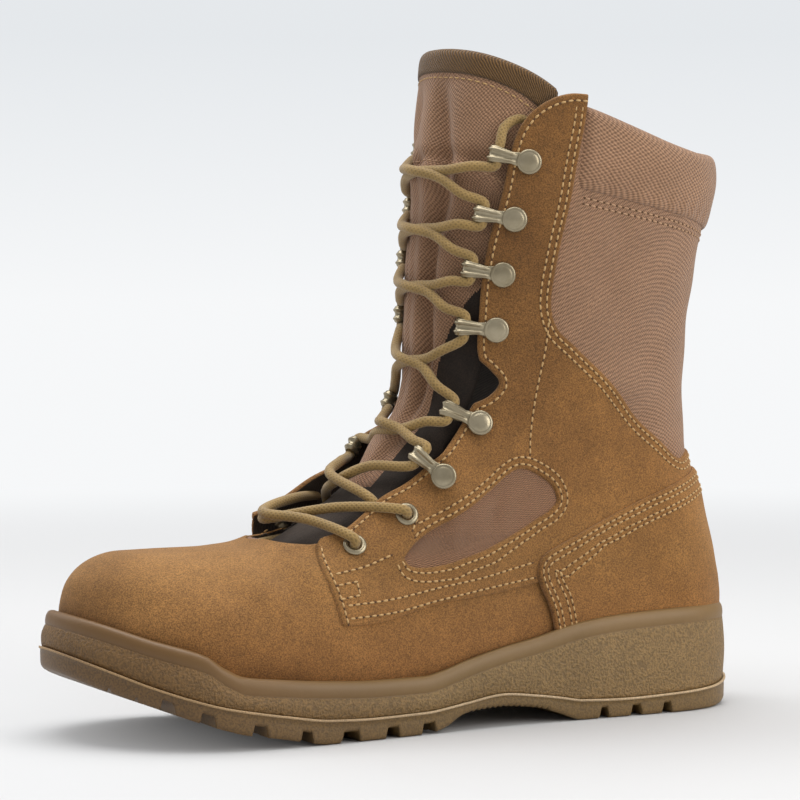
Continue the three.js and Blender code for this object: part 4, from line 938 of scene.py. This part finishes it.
bottom = []
for w in weights:
    p = edge_line(1.2, tread_z, 1 if w >= 0 else -1)
    ridge = ridge_y(p[:, 0])
    p[:, 1] = ridge + (p[:, 1] - ridge) * abs(w)
    p[:, 2] = tread_z(p[:, 0]) + groove_depth(p[:, 0], p[:, 1])
    bottom.append(p)
walls = []
for side in (1, -1):
    walls.append([
        edge_line(0.75, lambda x: tread_z(x) + 0.35, side, 0.3),
        edge_line(0.3, lambda x: tread_z(x) + 1.0, side, 0.6),
        edge_line(0.1, lambda x: tread_z(x) + 1.9, side, 1.0),
        edge_line(0.0, lambda x: tread_z(x) * 0.35 + seam_z(x) * 0.65, side, 1.4),
        edge_line(0.05, lambda x: seam_z(x) - 0.85, side, 1.6), edge_line(-0.55, lambda x: seam_z(x) - 0.6, side),
        edge_line(-0.55, lambda x: seam_z(x) + 0.05, side), edge_line(0.2, lambda x: seam_z(x) + 0.15, side),
        edge_line(1.5, lambda x: seam_z(x) + 0.05, side),
    ])
lid = [edge_line(1.5, lambda x: seam_z(x) + 0.02, 1)]
lines = bottom + walls[0] + [np.stack([l[:, 0], ridge_y(l[:, 0]), l[:, 2]], -1) for l in lid] + walls[1][::-1]
loop = np.stack(lines, axis=1)
n = loop.shape[1]
verts = loop.reshape(-1, 3)
faces = quads(len(stations), n, wrap_columns=True)
flash = np.isin(faces[:, 0] % n, [len(weights) + 4, len(weights) + 5, len(weights) + 6, n - 8, n - 7, n - 6])
OUTSOLE = rubber("tread_rubber", (0.138, 0.081, 0.024), (0.162, 0.097, 0.030), 0.8, 0.15, 0.5)
FLASH = rubber("flash_line", (0.38, 0.27, 0.155), (0.50, 0.37, 0.225), 0.5, 0.1)
outsole = build("outsole", verts, faces, [OUTSOLE, FLASH], None, flash.astype(int))
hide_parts("outsole")
# ---------------------------------------------------------------------------------------------
# Lace hooks and eyelets: painted brass. Each hook is a ribbed strap folded back under itself round
# the lace and riveted through the facing; each eyelet is rolled over the facing's hole.
# ---------------------------------------------------------------------------------------------
HOOKS = [  # rivet x, z, height off the last; loop x, z, height
    (71.6, 233.7, 0.3, 85.9, 237.5, 3), (77.3, 209.9, 0.3, 92.2, 212.7, 3.2), (81.5, 187, 0.3, 95.4, 189.9, 3.4),
    (83.6, 164.2, 0.3, 98.2, 165.8, 3.6), (90.5, 125.4, 0.9, 103.5, 131.8, 4), (108, 103.8, 1.3, 116.5, 112.8, 5.5),
]
EYELETS = [(125, 89), (149, 77.3)]
PAINTED, nodes, links, main = shader("painted_brass", 0.27, 0.7)
at = nodes.new("ShaderNodeTexCoord").outputs["Object"]
links.new(ramp(nodes, links, noise(nodes, links, at, 0.12, 4, 0.6), [(0.3, (0.26, 0.215, 0.135)), (0.7, (0.37, 0.315, 0.215))]),
          main.inputs["Base Color"])
links.new(bump(nodes, links, noise(nodes, links, at, 0.9, 3), 0.03), main.inputs["Normal"])


def side_point(x, z, side, out=0.0):
    """A point of the last's outer (side 1) or inner (side -1) wall at x, z, and its normal."""
    def at(px, pz):
        half = float(half_width(np.array(px), np.array(pz), side > 0))
        return np.array([px, float(ridge_y(px)) + side * half, pz])
    normal = np.cross(at(x + 0.4, z) - at(x - 0.4, z), at(x, z + 0.4) - at(x, z - 0.4)) * -side
    normal /= np.linalg.norm(normal)
    return at(x, z) + normal * out, normal


def lathe(profile, steps):
    """A closed solid of revolution from (radius, height) points; a radius of 0 makes a pole."""
    a = np.arange(steps) / steps * 2 * np.pi
    p = np.array([[(r * math.cos(t), h, r * math.sin(t)) for t in a] for r, h in profile])
    return p


def end_fans(n, last):
    """Triangles that close the first ring of n points and the ring that starts at last."""
    inner = range(1, n - 1)
    return np.array([(0, k + 1, k) for k in inner] + [(last, last + k, last + k + 1) for k in inner])


def hook_parts():
    """The strap swept along its folded centre line with a ribbed, rounded section, and its rivet."""
    path = curve_through([(-3.6, 0.62), (2, 0.62), (7.2, 0.62), (10.4, 0.95), (13.6, 1.12), (15.6, 0.75), (16.5, -0.45),
                          (16.2, -1.8), (15, -2.65), (13.2, -2.8), (11.2, -2.0), (9.2, -0.7), (7.6, -0.1), (6, -0.05)], 0.42)
    tangent = np.gradient(path, axis=0)
    tangent /= np.linalg.norm(tangent, axis=1, keepdims=True)
    out = np.stack([-tangent[:, 1], tangent[:, 0]], -1)
    half = np.interp(path[:, 0], [-4, -2.5, 3.4, 5.6, 7.4, 9, 14, 18], [2.2, 2.9, 3.3, 2.8, 2.6, 2.8, 3.55, 3.65])
    a = np.r_[np.arccos(np.linspace(1, -1, 23) ** 3), np.pi + np.arange(1, 8) * np.pi / 8]
    wide = np.sign(np.cos(a)) * np.abs(np.cos(a)) ** (1 / 3)
    tall = np.sign(np.sin(a)) * np.abs(np.sin(a)) ** 0.75 * 0.5
    ribs = (0.72 * np.exp(-((np.abs(wide) - 0.52) / 0.19) ** 2) - 0.2 * np.exp(-(wide / 0.2) ** 2)) * (np.sin(a) > 0.1)
    rise = tall[None] + ribs[None] * ease(path[:, :1], 5, 7.5)
    points = np.stack([
        path[:, :1] + out[:, :1] * rise, path[:, 1:] + out[:, 1:] * rise, half[:, None] * wide[None],
    ], -1)
    n = len(a)
    strap = (points.reshape(-1, 3),
             [quads(len(path), n, wrap_columns=True), end_fans(n, (len(path) - 1) * n)])
    ring = lathe([(0.01, -0.2), (4.6, -0.2), (5.25, 0.1), (5.35, 0.8), (5.2, 1.35), (4.8, 1.7), (4.3, 1.78),
                  (4.1, 1.72), (3.7, 1.95), (2.7, 2.25), (1.3, 2.4), (0.01, 2.44)], 32)
    dome = (ring.reshape(-1, 3), [quads(len(ring), 32, wrap_columns=True), end_fans(32, (len(ring) - 1) * 32)])
    return [strap, dome]


def solid_faces(verts, faces):
    """The faces turned so that the solid's signed volume is positive."""
    volume = sum(np.einsum("ij,ij->i", verts[f[:, 0]], np.cross(verts[f[:, k]], verts[f[:, k + 1]])).sum()
                 for f in faces for k in range(1, f.shape[1] - 1))
    return faces if volume > 0 else [f[:, ::-1] for f in faces]


def join(parts):
    """Separate solids as one set of points and faces."""
    verts, faces, start = [], [], 0
    for v, fs in parts:
        verts.append(v)
        faces += [f + start for f in solid_faces(v, fs)]
        start += len(v)
    return np.vstack(verts), faces


def frame_of(place, side):
    """Rivet centre and the hook's three directions: ahead, out, across."""
    x, z, rise, tip_x, tip_z, tip_rise = place
    higher = 0 if side > 0 else 5.0 * float(ease(z, 100, 150))
    z, tip_z = z + higher, tip_z + higher
    spring = float(sprung(side_point(x, z, side)[0][None])[0])
    rise, tip_rise = rise + spring * 0.9, tip_rise + spring * 0.8
    point, normal = side_point(x, z, side, rise)
    ahead = side_point(tip_x, tip_z, side, tip_rise)[0] - point
    ahead /= np.linalg.norm(ahead)
    upright = normal - ahead * (ahead @ normal)
    upright /= np.linalg.norm(upright)
    return point, ahead, upright, np.cross(ahead, upright)


for side, word in ((1, "lateral"), (-1, "medial")):
    for k, place in enumerate(HOOKS):
        point, ahead, upright, over = frame_of(place, side)
        solids = [(point + v[:, :1] * ahead + v[:, 1:2] * upright + v[:, 2:] * over, f) for v, f in hook_parts()]
        verts, faces = join(solids)
        hook = build(f"hook_{word}_{k + 1}", verts, faces, [PAINTED])
        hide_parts(f"lace_hook_{word}_{k + 1}")
    for k, (x, z) in enumerate(EYELETS):
        here = side_point(x, z, side)[0][None]
        point, normal = side_point(x, z, side, float(sprung(here)[0] - crease_depth(here)[0]) + 0.15)
        ahead = np.cross(normal, [0, 0, 1.0])
        ahead /= np.linalg.norm(ahead)
        ring = lathe([(2.5, -2.4), (2.45, 0.2), (2.6, 0.75), (2.95, 1.1), (3.4, 1.25), (3.95, 1.2), (4.5, 0.95), (4.85, 0.55),
                      (4.9, 0.15), (4.4, -0.1), (3.1, -0.4), (3.0, -2.4)], 40)
        v = ring.reshape(-1, 3)
        verts = point + v[:, :1] * ahead + v[:, 1:2] * normal + v[:, 2:] * np.cross(ahead, normal)
        eyelet = build(f"eyelet_{word}_{k + 1}", verts, quads(len(ring), 40, wrap_rows=True, wrap_columns=True),
                       [PAINTED])
        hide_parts(f"eyelet_{word}_{k + 1}")

# ---------------------------------------------------------------------------------------------
# Lace: one braided round cord, zig-zagged up through the eyelets and hooks, each strand from an
# inner hook down to the next outer one lying on top; its ends tuck behind the facings' tops.
# ---------------------------------------------------------------------------------------------
LACE_RADIUS = 2.15
BRAID, nodes, links, main = shader("braided_cord", 0.75, sheen=0.2)
uv = nodes.new("ShaderNodeUVMap")
uv.uv_map = "UVMap"
split = nodes.new("ShaderNodeSeparateXYZ")
links.new(uv.outputs[0], split.inputs[0])
around = calc(nodes, links, "MULTIPLY", split.outputs[0], 2 * math.pi * 1000 * 7)
along = calc(nodes, links, "MULTIPLY", split.outputs[1], 2 * math.pi / (2.0 * MM))
left_over = calc(nodes, links, "SINE", calc(nodes, links, "ADD", around, along))
right_over = calc(nodes, links, "SINE", calc(nodes, links, "SUBTRACT", around, along))
braid_height = calc(nodes, links, "ADD", calc(nodes, links, "MULTIPLY", calc(nodes, links, "MAXIMUM", left_over, right_over), 0.5), 0.5)
tint = ramp(nodes, links, braid_height, [(0.3, (0.200, 0.122, 0.033)), (0.75, (0.290, 0.182, 0.053))])
at = nodes.new("ShaderNodeTexCoord").outputs["Object"]
worn = ramp(nodes, links, noise(nodes, links, at, 0.1, 3), [(0.3, (0.85,) * 3), (0.7, (1.08,) * 3)])
links.new(blend_color(nodes, links, "MULTIPLY", 1.0, tint, worn), main.inputs["Base Color"])
links.new(bump(nodes, links, braid_height, 0.15), main.inputs["Normal"])


def tube(points, radius, sides=14, step=0.9):
    """A cord swept along a smooth line with a frame carried without twist, closed by round ends.
    UVs: share of a turn round it, millimetres along it."""
    line = curve_through(points, step)
    tangent = np.gradient(line, axis=0)
    tangent /= np.linalg.norm(tangent, axis=1, keepdims=True)
    side = np.cross(tangent[0], [0.3, 0.2, 1.0])
    rings, a = [], np.arange(sides) / sides * 2 * np.pi
    run = np.r_[0, np.cumsum(np.linalg.norm(np.diff(line, axis=0), axis=1))]
    for k, (p, t) in enumerate(zip(line, tangent)):
        side = side - t * (side @ t)
        side /= np.linalg.norm(side)
        other = np.cross(t, side)
        r = radius * min(1, math.sqrt(max(min(run[k], run[-1] - run[k]) * 2, 0) / radius) + 0.02)
        rings.append(p + r * (np.cos(a)[:, None] * side + np.sin(a)[:, None] * other))
    count = len(rings)
    faces = quads(count, sides, wrap_columns=True)
    row, column = faces[:, 0] // sides, faces[:, 0] % sides
    uv = np.stack([
        np.stack([column / sides, run[row]], -1), np.stack([(column + 1) / sides, run[row]], -1),
        np.stack([(column + 1) / sides, run[row + 1]], -1), np.stack([column / sides, run[row + 1]], -1),
    ], 1)
    return np.vstack(rings), faces, uv, run[-1]


def eye(place, side, slide=0.0, ahead_mm=13.3, out_mm=-0.75):
    """A point on a hook's loop axis, slid up (+) or down (-) along it."""
    point, ahead, upright, over = frame_of(place, side)
    up = over if over[2] > 0 else -over
    return point + ahead * ahead_mm + upright * out_mm + up * slide


def on_boot(turn, row, out):
    return upper_point(row, turn, out)


def strand(high, low, high_side, top):
    """Points of the lace from the lower end of one holder down and across to the upper end of the
    next holder's loop on the other side, over the tongue's ridge."""
    low_side = -high_side
    a, b = holder_rt[high], holder_rt[low]
    za, zb = holder_z[high], holder_z[low]
    up = lambda z, side: 0 if side > 0 else 0.26 * float(ease(z, 100, 150))
    a, b = a + [0, up(za, high_side)], b + [0, up(zb, low_side)]
    row_c = (a[1] + b[1]) / 2 + 0.03
    lift = 6.0 if top else 1.7
    if low >= 6:
        lift += 1.0
    pts = []
    turn_of = lambda rt, side: rt[0] if side > 0 else 1 - rt[0]
    centre = 0.488
    low_row = ease(row_c, 14.6, 13.6) * ease(row_c, 8.6, 9.6)
    lift = lift - 3.0 * low_row


    def marks(side, leaving):
        """Share of the way round, share of the way down and height over the last of two points
        between a hook and the crossing: leaving an outer hook the lace drops first, then runs flat."""
        if side > 0:
            near, far = ((0.16, 0.68), (0.48, 0.93)) if leaving else ((0.16, 0.47), (0.52, 0.84))
        else:
            near, far = ((0.12, 0.42), (0.46, 0.80)) if leaving else ((0.20, 0.50), (0.55, 0.84))
        drop = 1.3 * low_row
        return (*near, 2.4 if side > 0 else 0.3 - drop), (*far, (2.0 if side > 0 else 0.3) - drop + 0.2 * lift)

    for share_t, share_r, out in marks(high_side, True):
        turn = turn_of(a, high_side)
        pts.append(on_boot(turn + (centre - turn) * share_t, a[1] + (row_c - a[1]) * share_r, out))
    pts.append(on_boot(centre, row_c, lift))
    for share_t, share_r, out in marks(low_side, False)[::-1]:
        turn = turn_of(b, low_side)
        pts.append(on_boot(turn + (centre - turn) * share_t, b[1] + (row_c - b[1]) * share_r, out))
    return pts


loops_xz = [(tx - 0.6, tz) for _, _, _, tx, tz, _ in HOOKS]
holder_rt = np.vstack([to_turn_row(loops_xz), to_turn_row([(x + 1.5, z + 1.5) for x, z in EYELETS])])
holder_z = [tz for *_, tz, _ in HOOKS] + [z for _, z in EYELETS]


def half_lace(start_side):
    """From the hidden end at the top down to the eyelet reached from beneath."""
    side, first = start_side, HOOKS[0]
    tuck = (74, 252) if side > 0 else (72, 251)
    rt = to_turn_row([tuck, (80, 248.5), (67, 247)])
    t = rt[:, 0] if side > 0 else 1 - rt[:, 0]
    pts = [on_boot(t[2], rt[2, 1], -4.6), on_boot(t[0], rt[0, 1], -4.4), on_boot(t[1], rt[1, 1], -1.5)]
    for k in range(6):
        pts += [eye(HOOKS[k], side, 4.6), eye(HOOKS[k], side, 0), eye(HOOKS[k], side, -4.6)]
        if k < 5:
            pts += strand(k, k + 1, side, side < 0)
            side = -side
    return pts, side


def eyelet_point(k, side, out):
    x, z = EYELETS[k]
    return side_point(x, z, side, out + float(sprung(side_point(x, z, side)[0][None])[0]))[0]


outer_start, side_a = half_lace(1)
inner_start, side_b = half_lace(-1)
# hook 6 of one side to the first eyelet of the other, reached from beneath the facing
def to_eyelet(side, top):
    rt = np.vstack([to_turn_row([(124, 100.5)]), to_turn_row([(131.5, 90.5)])])
    t_from = holder_rt[5][0] if side > 0 else 1 - holder_rt[5][0]
    other = lambda turn: 1 - turn if side > 0 else turn
    lift = 3.6 if top else -0.6
    return [
        on_boot(t_from + (0.5 - t_from) * 0.5, 8.55, 2.6 if top else 1.2), on_boot(0.5, 8.2, lift),
        on_boot(other(rt[0, 0] + 0.02), 7.75, -0.8 if top else -2.4), on_boot(other(rt[1, 0]), rt[1, 1] - 0.05, -5.0),
        eyelet_point(0, -side, -5.2), eyelet_point(0, -side, -1.5), eyelet_point(0, -side, 1.0),
    ]


down_a = to_eyelet(side_a, side_a < 0)
down_b = to_eyelet(side_b, side_b < 0)


def across_bar(from_side, top):
    """Out of the first eyelet of one side, over the tongue, into the second of the other."""
    lift = 6.0 if top else 3.0
    a, b = eyelet_point(0, from_side, 3.0), eyelet_point(1, -from_side, 3.0)
    mid = on_boot(0.5, 6.75, lift)
    near = (a * 0.55 + mid * 0.45) + np.array([1.5, 0, 3.2])
    far = (b * 0.55 + mid * 0.45) + np.array([1.0, 0, 3.2])
    return [a + [1.6, 0, 0.6], near, mid, far, b + [0.4, 0, 0.8],
            eyelet_point(1, -from_side, 0.6), eyelet_point(1, -from_side, -2.5)]


bar_a = across_bar(-side_a, False)
bar_b = across_bar(-side_b, True)
under_bar = [eyelet_point(1, side_a, -4.6), on_boot(0.5, 5.9, -4.6), eyelet_point(1, side_b, -4.6)]
path = outer_start + down_a + bar_a + under_bar + bar_b[::-1] + down_b[::-1] + inner_start[::-1]
path = np.array([np.asarray(p, float).reshape(3) for p in path])
verts, faces, uv, _ = tube(path, LACE_RADIUS)
ends = end_fans(14, len(verts) - 14)
end_uv = np.zeros((len(ends) * 3, 2))
lace = build("lace", verts, [faces, ends], [BRAID], np.vstack([uv.reshape(-1, 2), end_uv]))
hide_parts("laces")

# ---------------------------------------------------------------------------------------------
# Stitching: waxed thread, light tan on the suede and brown on the nylon, every visible stitch a
# small rounded solid lying along its seam. Rows are drawn on the outer side view and repeated on
# the inner side.
# ---------------------------------------------------------------------------------------------
THREAD, nodes, links, main = shader("light_thread", 0.6)
main.inputs["Base Color"].default_value = (0.47, 0.29, 0.115, 1)
# painted shade: small near-black solids between the stitches stand for the shadow in the needle holes
HOLE_SHADE, nodes, links, main = shader("needle_hole_shade", 0.95)
main.inputs["Base Color"].default_value = (0.085, 0.040, 0.016, 1)
BROWN_THREAD, nodes, links, main = shader("brown_thread", 0.65)
main.inputs["Base Color"].default_value = (0.42, 0.25, 0.14, 1)


def beside(line, distance):
    """The line moved to its left on the last by a distance, corners that double back dropped."""
    mm = resample(np.asarray(line) * [TURN_MM, ROW_MM], 1.0)
    moved = mm + across(mm, np.gradient(mm, axis=0)) * distance
    clear = nearest(flat(moved), flat(resample(mm, 0.35))) > abs(distance) * 0.93
    return moved[clear] / [TURN_MM, ROW_MM]


def stitch_row(line, out, pitch=3.2, long=2.2, wide=0.45, tall=0.36, lift=None, start=0.0):
    """Points of a row of stitches: each a capsule of four rings of six between two poles."""
    base = resample(np.asarray(line) * [TURN_MM, ROW_MM], 0.5) / [TURN_MM, ROW_MM]
    ground = face(base[:, 1], base[:, 0])
    extra = np.zeros(len(base)) if lift is None else lift(ground)
    p = upper_point(base[:, 1], base[:, 0], out + extra)
    q = upper_point(base[:, 1], base[:, 0], out + extra + 1.0)
    run = np.r_[0, np.cumsum(np.linalg.norm(np.diff(p, axis=0), axis=1))]
    count = int(run[-1] // pitch)
    if count < 1:
        return []
    at = (np.arange(count) + 0.5) * run[-1] / count + start
    read = lambda values, where: np.stack([np.interp(where, run, values[:, k]) for k in range(3)], -1)
    middle, up = read(p, at), read(q - p, at)
    along = read(p, at + 0.6) - read(p, at - 0.6)
    along /= np.linalg.norm(along, axis=1, keepdims=True) + 1e-9
    up /= np.linalg.norm(up, axis=1, keepdims=True) + 1e-9
    side = np.cross(up, along)
    shape = [(-0.5, 0, 0)]
    for place, size in ((-0.44, 0.62), (-0.22, 1), (0.22, 1), (0.44, 0.62)):
        shape += [(place, size * math.cos(k * math.pi / 3), size * math.sin(k * math.pi / 3) - (1 - size) * 0.5)
                  for k in range(6)]
    shape = np.array(shape + [(0.5, 0, 0)])
    return [middle[:, None] + along[:, None] * shape[None, :, :1] * long + side[:, None] * shape[None, :, 1:2] * wide
            + up[:, None] * shape[None, :, 2:] * tall]


STITCH_QUADS = np.array([(1 + r * 6 + k, 1 + r * 6 + (k + 1) % 6, 7 + r * 6 + (k + 1) % 6, 7 + r * 6 + k)
                         for r in range(3) for k in range(6)])
STITCH_TIPS = np.array([(0, 1 + (k + 1) % 6, 1 + k) for k in range(6)]
                       + [(25, 19 + k, 19 + (k + 1) % 6) for k in range(6)])


def stitched(name, groups, material):
    """All the stitches of one thread as a joined mesh."""
    points = np.concatenate([g for group in groups for g in group])
    verts = points.reshape(-1, 3)
    starts = np.arange(len(points)) * 26
    faces = [(starts[:, None, None] + STITCH_QUADS[None]).reshape(-1, 4),
             (starts[:, None, None] + STITCH_TIPS[None]).reshape(-1, 3)]
    return build(name, verts, faces, [material])


hole_shades = []


def sewn(line, out, pitch=3.2, **k):
    """A row of stitches, with small dark solids of painted shade for the needle holes between them kept for a mesh of
    their own.
    """
    hole_shades.append(stitch_row(line, out - 0.06, pitch, 1.2, 0.40, 0.14, k.get("lift"), pitch / 2))
    return stitch_row(line, out, pitch, **k)


def both(line, out, **k):
    line = np.asarray(line)
    return [sewn(line, out, **k), sewn(line * [-1, 1], out, **k)]


side_rt = lambda points: to_turn_row(curve_through(points, 1.0))
rows = []
TOP = 0.25  # stitches lie just above the quarter's face
nylon_rt = to_turn_row(nylon_edge)
for d in (-2.4, -5.2):
    row = beside(nylon_rt, d)
    rows += both(row[face(row[:, 1], row[:, 0])[:, 2] < 258.5], TOP)
for line, mark in ((throat_rt, 1), (inner_rt, -1)):
    seam = beside(line, -2.9)
    rows.append(sewn(seam * [mark, 1], TOP, lift=sprung))
rows += both(beside(to_turn_row(front_edge), -2.6), TOP)
rows += both(side_rt([(157.5, 54.0), (135, 55.6), (113.4, 59.0), (90, 62.4), (67.5, 66.9)]), TOP)
rows += both(side_rt([(157, 48.8), (135, 50.2), (113.6, 53.9), (90, 57.4), (66, 60.6)]), TOP)
rows += both(side_rt([(160.5, 66.2), (147, 69), (134.5, 73)]), TOP)
vent_closed = np.vstack([vent_rt, vent_rt[:1]])
area = np.sum(vent_rt[:, 0] * np.roll(vent_rt[:, 1], -1) - np.roll(vent_rt[:, 0], -1) * vent_rt[:, 1])
outwards = -1 if area > 0 else 1
for d in (2.2, 5.0):
    rows += both(beside(vent_closed, outwards * d), TOP)
rows += both(side_rt([(62.5, 168), (63.7, 155.8), (67.2, 135), (68.6, 120), (68.5, 112)]), TOP)
for y0, y1 in ((57.2, 57.2), (62.6, 62.6)):
    rows += both(side_rt([(150.5, y0 + 0.8), (156, y1), (160.5, y1 - 0.7)]), TOP, pitch=2.6, long=2.0)
rows += both(side_rt([(151, 58), (151.6, 63)]), TOP, pitch=2.6, long=2.0)
counter_rt_edge = to_turn_row(counter_edge)
for d in (-2.1, -4.4, -8.2, -10.5):
    rows += both(beside(counter_rt_edge, d), 1.85)
light = stitched("seam_stitches", rows, THREAD)

rows = []
for drop in (0.13, 0.245):
    t = np.linspace(0.005, 0.281, 200)
    rows += both(np.stack([t, 14 + 0.29 * (t / COLLAR_TURN) ** 1.5 - drop], -1), -1.0, wide=0.4, tall=0.3)
s_line = np.linspace(-0.97, 0.97, 120)
quilt = tongue_point(np.full(120, (QUILT_ROW - TONGUE_BASE) / (LAST_ROW - TONGUE_BASE)), s_line, False)
bind_line = tongue_point(np.full(120, top_v - 0.012), s_line, False)


def free_row(p, up, pitch=3.3, long=2.3, wide=0.3, tall=0.24):
    """A row of stitches along a line in space, on a surface whose outward direction is given."""
    run = np.r_[0, np.cumsum(np.linalg.norm(np.diff(p, axis=0), axis=1))]
    at = np.arange(pitch / 2, run[-1], pitch)
    read = lambda where: np.stack([np.interp(where, run, p[:, k]) for k in range(3)], -1)
    middle = read(at)
    along = read(at + 0.6) - read(at - 0.6)
    along /= np.linalg.norm(along, axis=1, keepdims=True)
    ups = np.stack([np.interp(at, run, up[:, k]) for k in range(3)], -1)
    side = np.cross(ups, along)
    shape = [(-0.5, 0, 0)]
    for place, size in ((-0.44, 0.62), (-0.22, 1), (0.22, 1), (0.44, 0.62)):
        shape += [(place, size * math.cos(k * math.pi / 3), size * math.sin(k * math.pi / 3)) for k in range(6)]
    shape = np.array(shape + [(0.5, 0, 0)])
    return [middle[:, None] + along[:, None] * shape[None, :, :1] * long + side[:, None] * shape[None, :, 1:2] * wide
            + ups[:, None] * (shape[None, :, 2:] * tall + 0.1)]


def outward_at(line_v):
    e = 0.004
    a = tongue_point(np.full(120, line_v + e), s_line, False) - tongue_point(np.full(120, line_v - e), s_line, False)
    b = tongue_point(np.full(120, line_v), s_line + 0.01, False) - tongue_point(np.full(120, line_v), s_line - 0.01, False)
    n = np.cross(a, b)
    n /= np.linalg.norm(n, axis=1, keepdims=True)
    return n * np.sign(n[60, 0])


rows.append(free_row(quilt, outward_at((QUILT_ROW - TONGUE_BASE) / (LAST_ROW - TONGUE_BASE))))
stitched("cloth_stitches", rows, BROWN_THREAD)
edge_rows = [free_row(bind_line, outward_at(top_v - 0.012), wide=0.28)]
stitched("needle_hole_shade", hole_shades, HOLE_SHADE)
stitched("binding_stitches", edge_rows, THREAD)
# ---------------------------------------------------------------------------------------------
# Stage: pale floor that runs back into a pale wall, a large soft light overhead and in front.
# ---------------------------------------------------------------------------------------------
BACKDROP = (0.925, 0.935, 0.945)
stage_material, nodes, links, main = shader("paper", 0.8)
main.inputs["Base Color"].default_value = (0.555, 0.555, 0.555, 1)
main.inputs["Specular IOR Level"].default_value = 0.15
far = nodes.new("ShaderNodeEmission")
far.inputs["Color"].default_value = (*BACKDROP, 1)
mix = nodes.new("ShaderNodeMixShader")
reach = nodes.new("ShaderNodeVectorMath")
reach.operation = "LENGTH"
links.new(nodes.new("ShaderNodeTexCoord").outputs["Object"], reach.inputs[0])
share = nodes.new("ShaderNodeMapRange")
share.interpolation_type = "SMOOTHSTEP"
share.inputs["From Min"].default_value, share.inputs["From Max"].default_value = 0.35, 1.5
links.new(reach.outputs["Value"], share.inputs["Value"])
# painted light: towards the toe, from x 0.17 to 0.29 m, up to 0.38 of the floor glows with the backdrop colour,
# lightening the shadow under the raised toe
ahead = nodes.new("ShaderNodeMapRange")
ahead.inputs["From Min"].default_value, ahead.inputs["From Max"].default_value = 0.17, 0.29
ahead.inputs["To Max"].default_value = 0.38
split = nodes.new("ShaderNodeSeparateXYZ")
links.new(nodes.new("ShaderNodeTexCoord").outputs["Object"], split.inputs[0])
links.new(split.outputs[0], ahead.inputs["Value"])
links.new(calc(nodes, links, "MAXIMUM", share.outputs["Result"], ahead.outputs["Result"]), mix.inputs[0])
links.new(main.outputs[0], mix.inputs[1])
links.new(far.outputs[0], mix.inputs[2])
links.new(mix.outputs[0], nodes["Material Output"].inputs["Surface"])
bpy.ops.mesh.primitive_plane_add(size=30, location=(0, 0, -0.0002))
floor = bpy.context.object
floor.name = "floor"
floor.data.materials.append(stage_material)

# the camera sees the backdrop's own tone; the boot is lit by a dimmer, even sky
world = bpy.data.worlds.new("studio")
bpy.context.scene.world = world
world.use_nodes = True
nodes, links = world.node_tree.nodes, world.node_tree.links
sky = nodes["Background"]
sky.inputs["Color"].default_value, sky.inputs["Strength"].default_value = (0.97, 0.98, 1.0, 1), 0.50
seen = nodes.new("ShaderNodeBackground")
height = nodes.new("ShaderNodeSeparateXYZ")
links.new(nodes.new("ShaderNodeTexCoord").outputs["Generated"], height.inputs[0])
links.new(ramp(nodes, links, calc(nodes, links, "MULTIPLY", height.outputs[2], 6.0),
               [(0.0, BACKDROP), (0.55, (0.785, 0.81, 0.835))]),
          seen.inputs["Color"])
either = nodes.new("ShaderNodeMixShader")
links.new(nodes.new("ShaderNodeLightPath").outputs["Is Camera Ray"], either.inputs[0])
links.new(sky.outputs[0], either.inputs[1])
links.new(seen.outputs[0], either.inputs[2])
links.new(either.outputs[0], nodes["World Output"].inputs["Surface"])

AIM = Vector((0.11064, 0, 0.1345))
AZIMUTH, ELEVATION, DISTANCE = math.radians(153), math.radians(1.98), 1.2
back = Vector((math.sin(AZIMUTH) * math.cos(ELEVATION), -math.cos(AZIMUTH) * math.cos(ELEVATION),
               math.sin(ELEVATION)))


def area_light(name, place, size, power, color=(1, 1, 1)):
    data = bpy.data.lights.new(name, "AREA")
    data.size, data.energy, data.color = size, power, color
    lamp = bpy.data.objects.new(name, data)
    lamp.location = place
    lamp.rotation_euler = (AIM - lamp.location).to_track_quat("-Z", "Y").to_euler()
    bpy.context.scene.collection.objects.link(lamp)
    return lamp


area_light("overhead", Vector((0.10, -0.15, 1.5)), 1.5, 29)
area_light("front", Vector((-0.85, 1.15, 0.75)), 1.2, 14.5, (1, 0.98, 0.95))
area_light("far_side", Vector((0.9, -1.0, 0.9)), 0.9, 4, (0.97, 0.98, 1))

camera_data = bpy.data.cameras.new("camera")
camera_data.sensor_width, camera_data.lens = 36, 2845.3 / 800 * 36
camera_data.clip_start, camera_data.clip_end = 0.05, 60
camera = bpy.data.objects.new("camera", camera_data)
camera.location = AIM + back * DISTANCE
camera.rotation_euler = back.to_track_quat("Z", "Y").to_euler()
bpy.context.scene.collection.objects.link(camera)
bpy.context.scene.camera = camera
bpy.context.scene.view_settings.view_transform = "Standard"
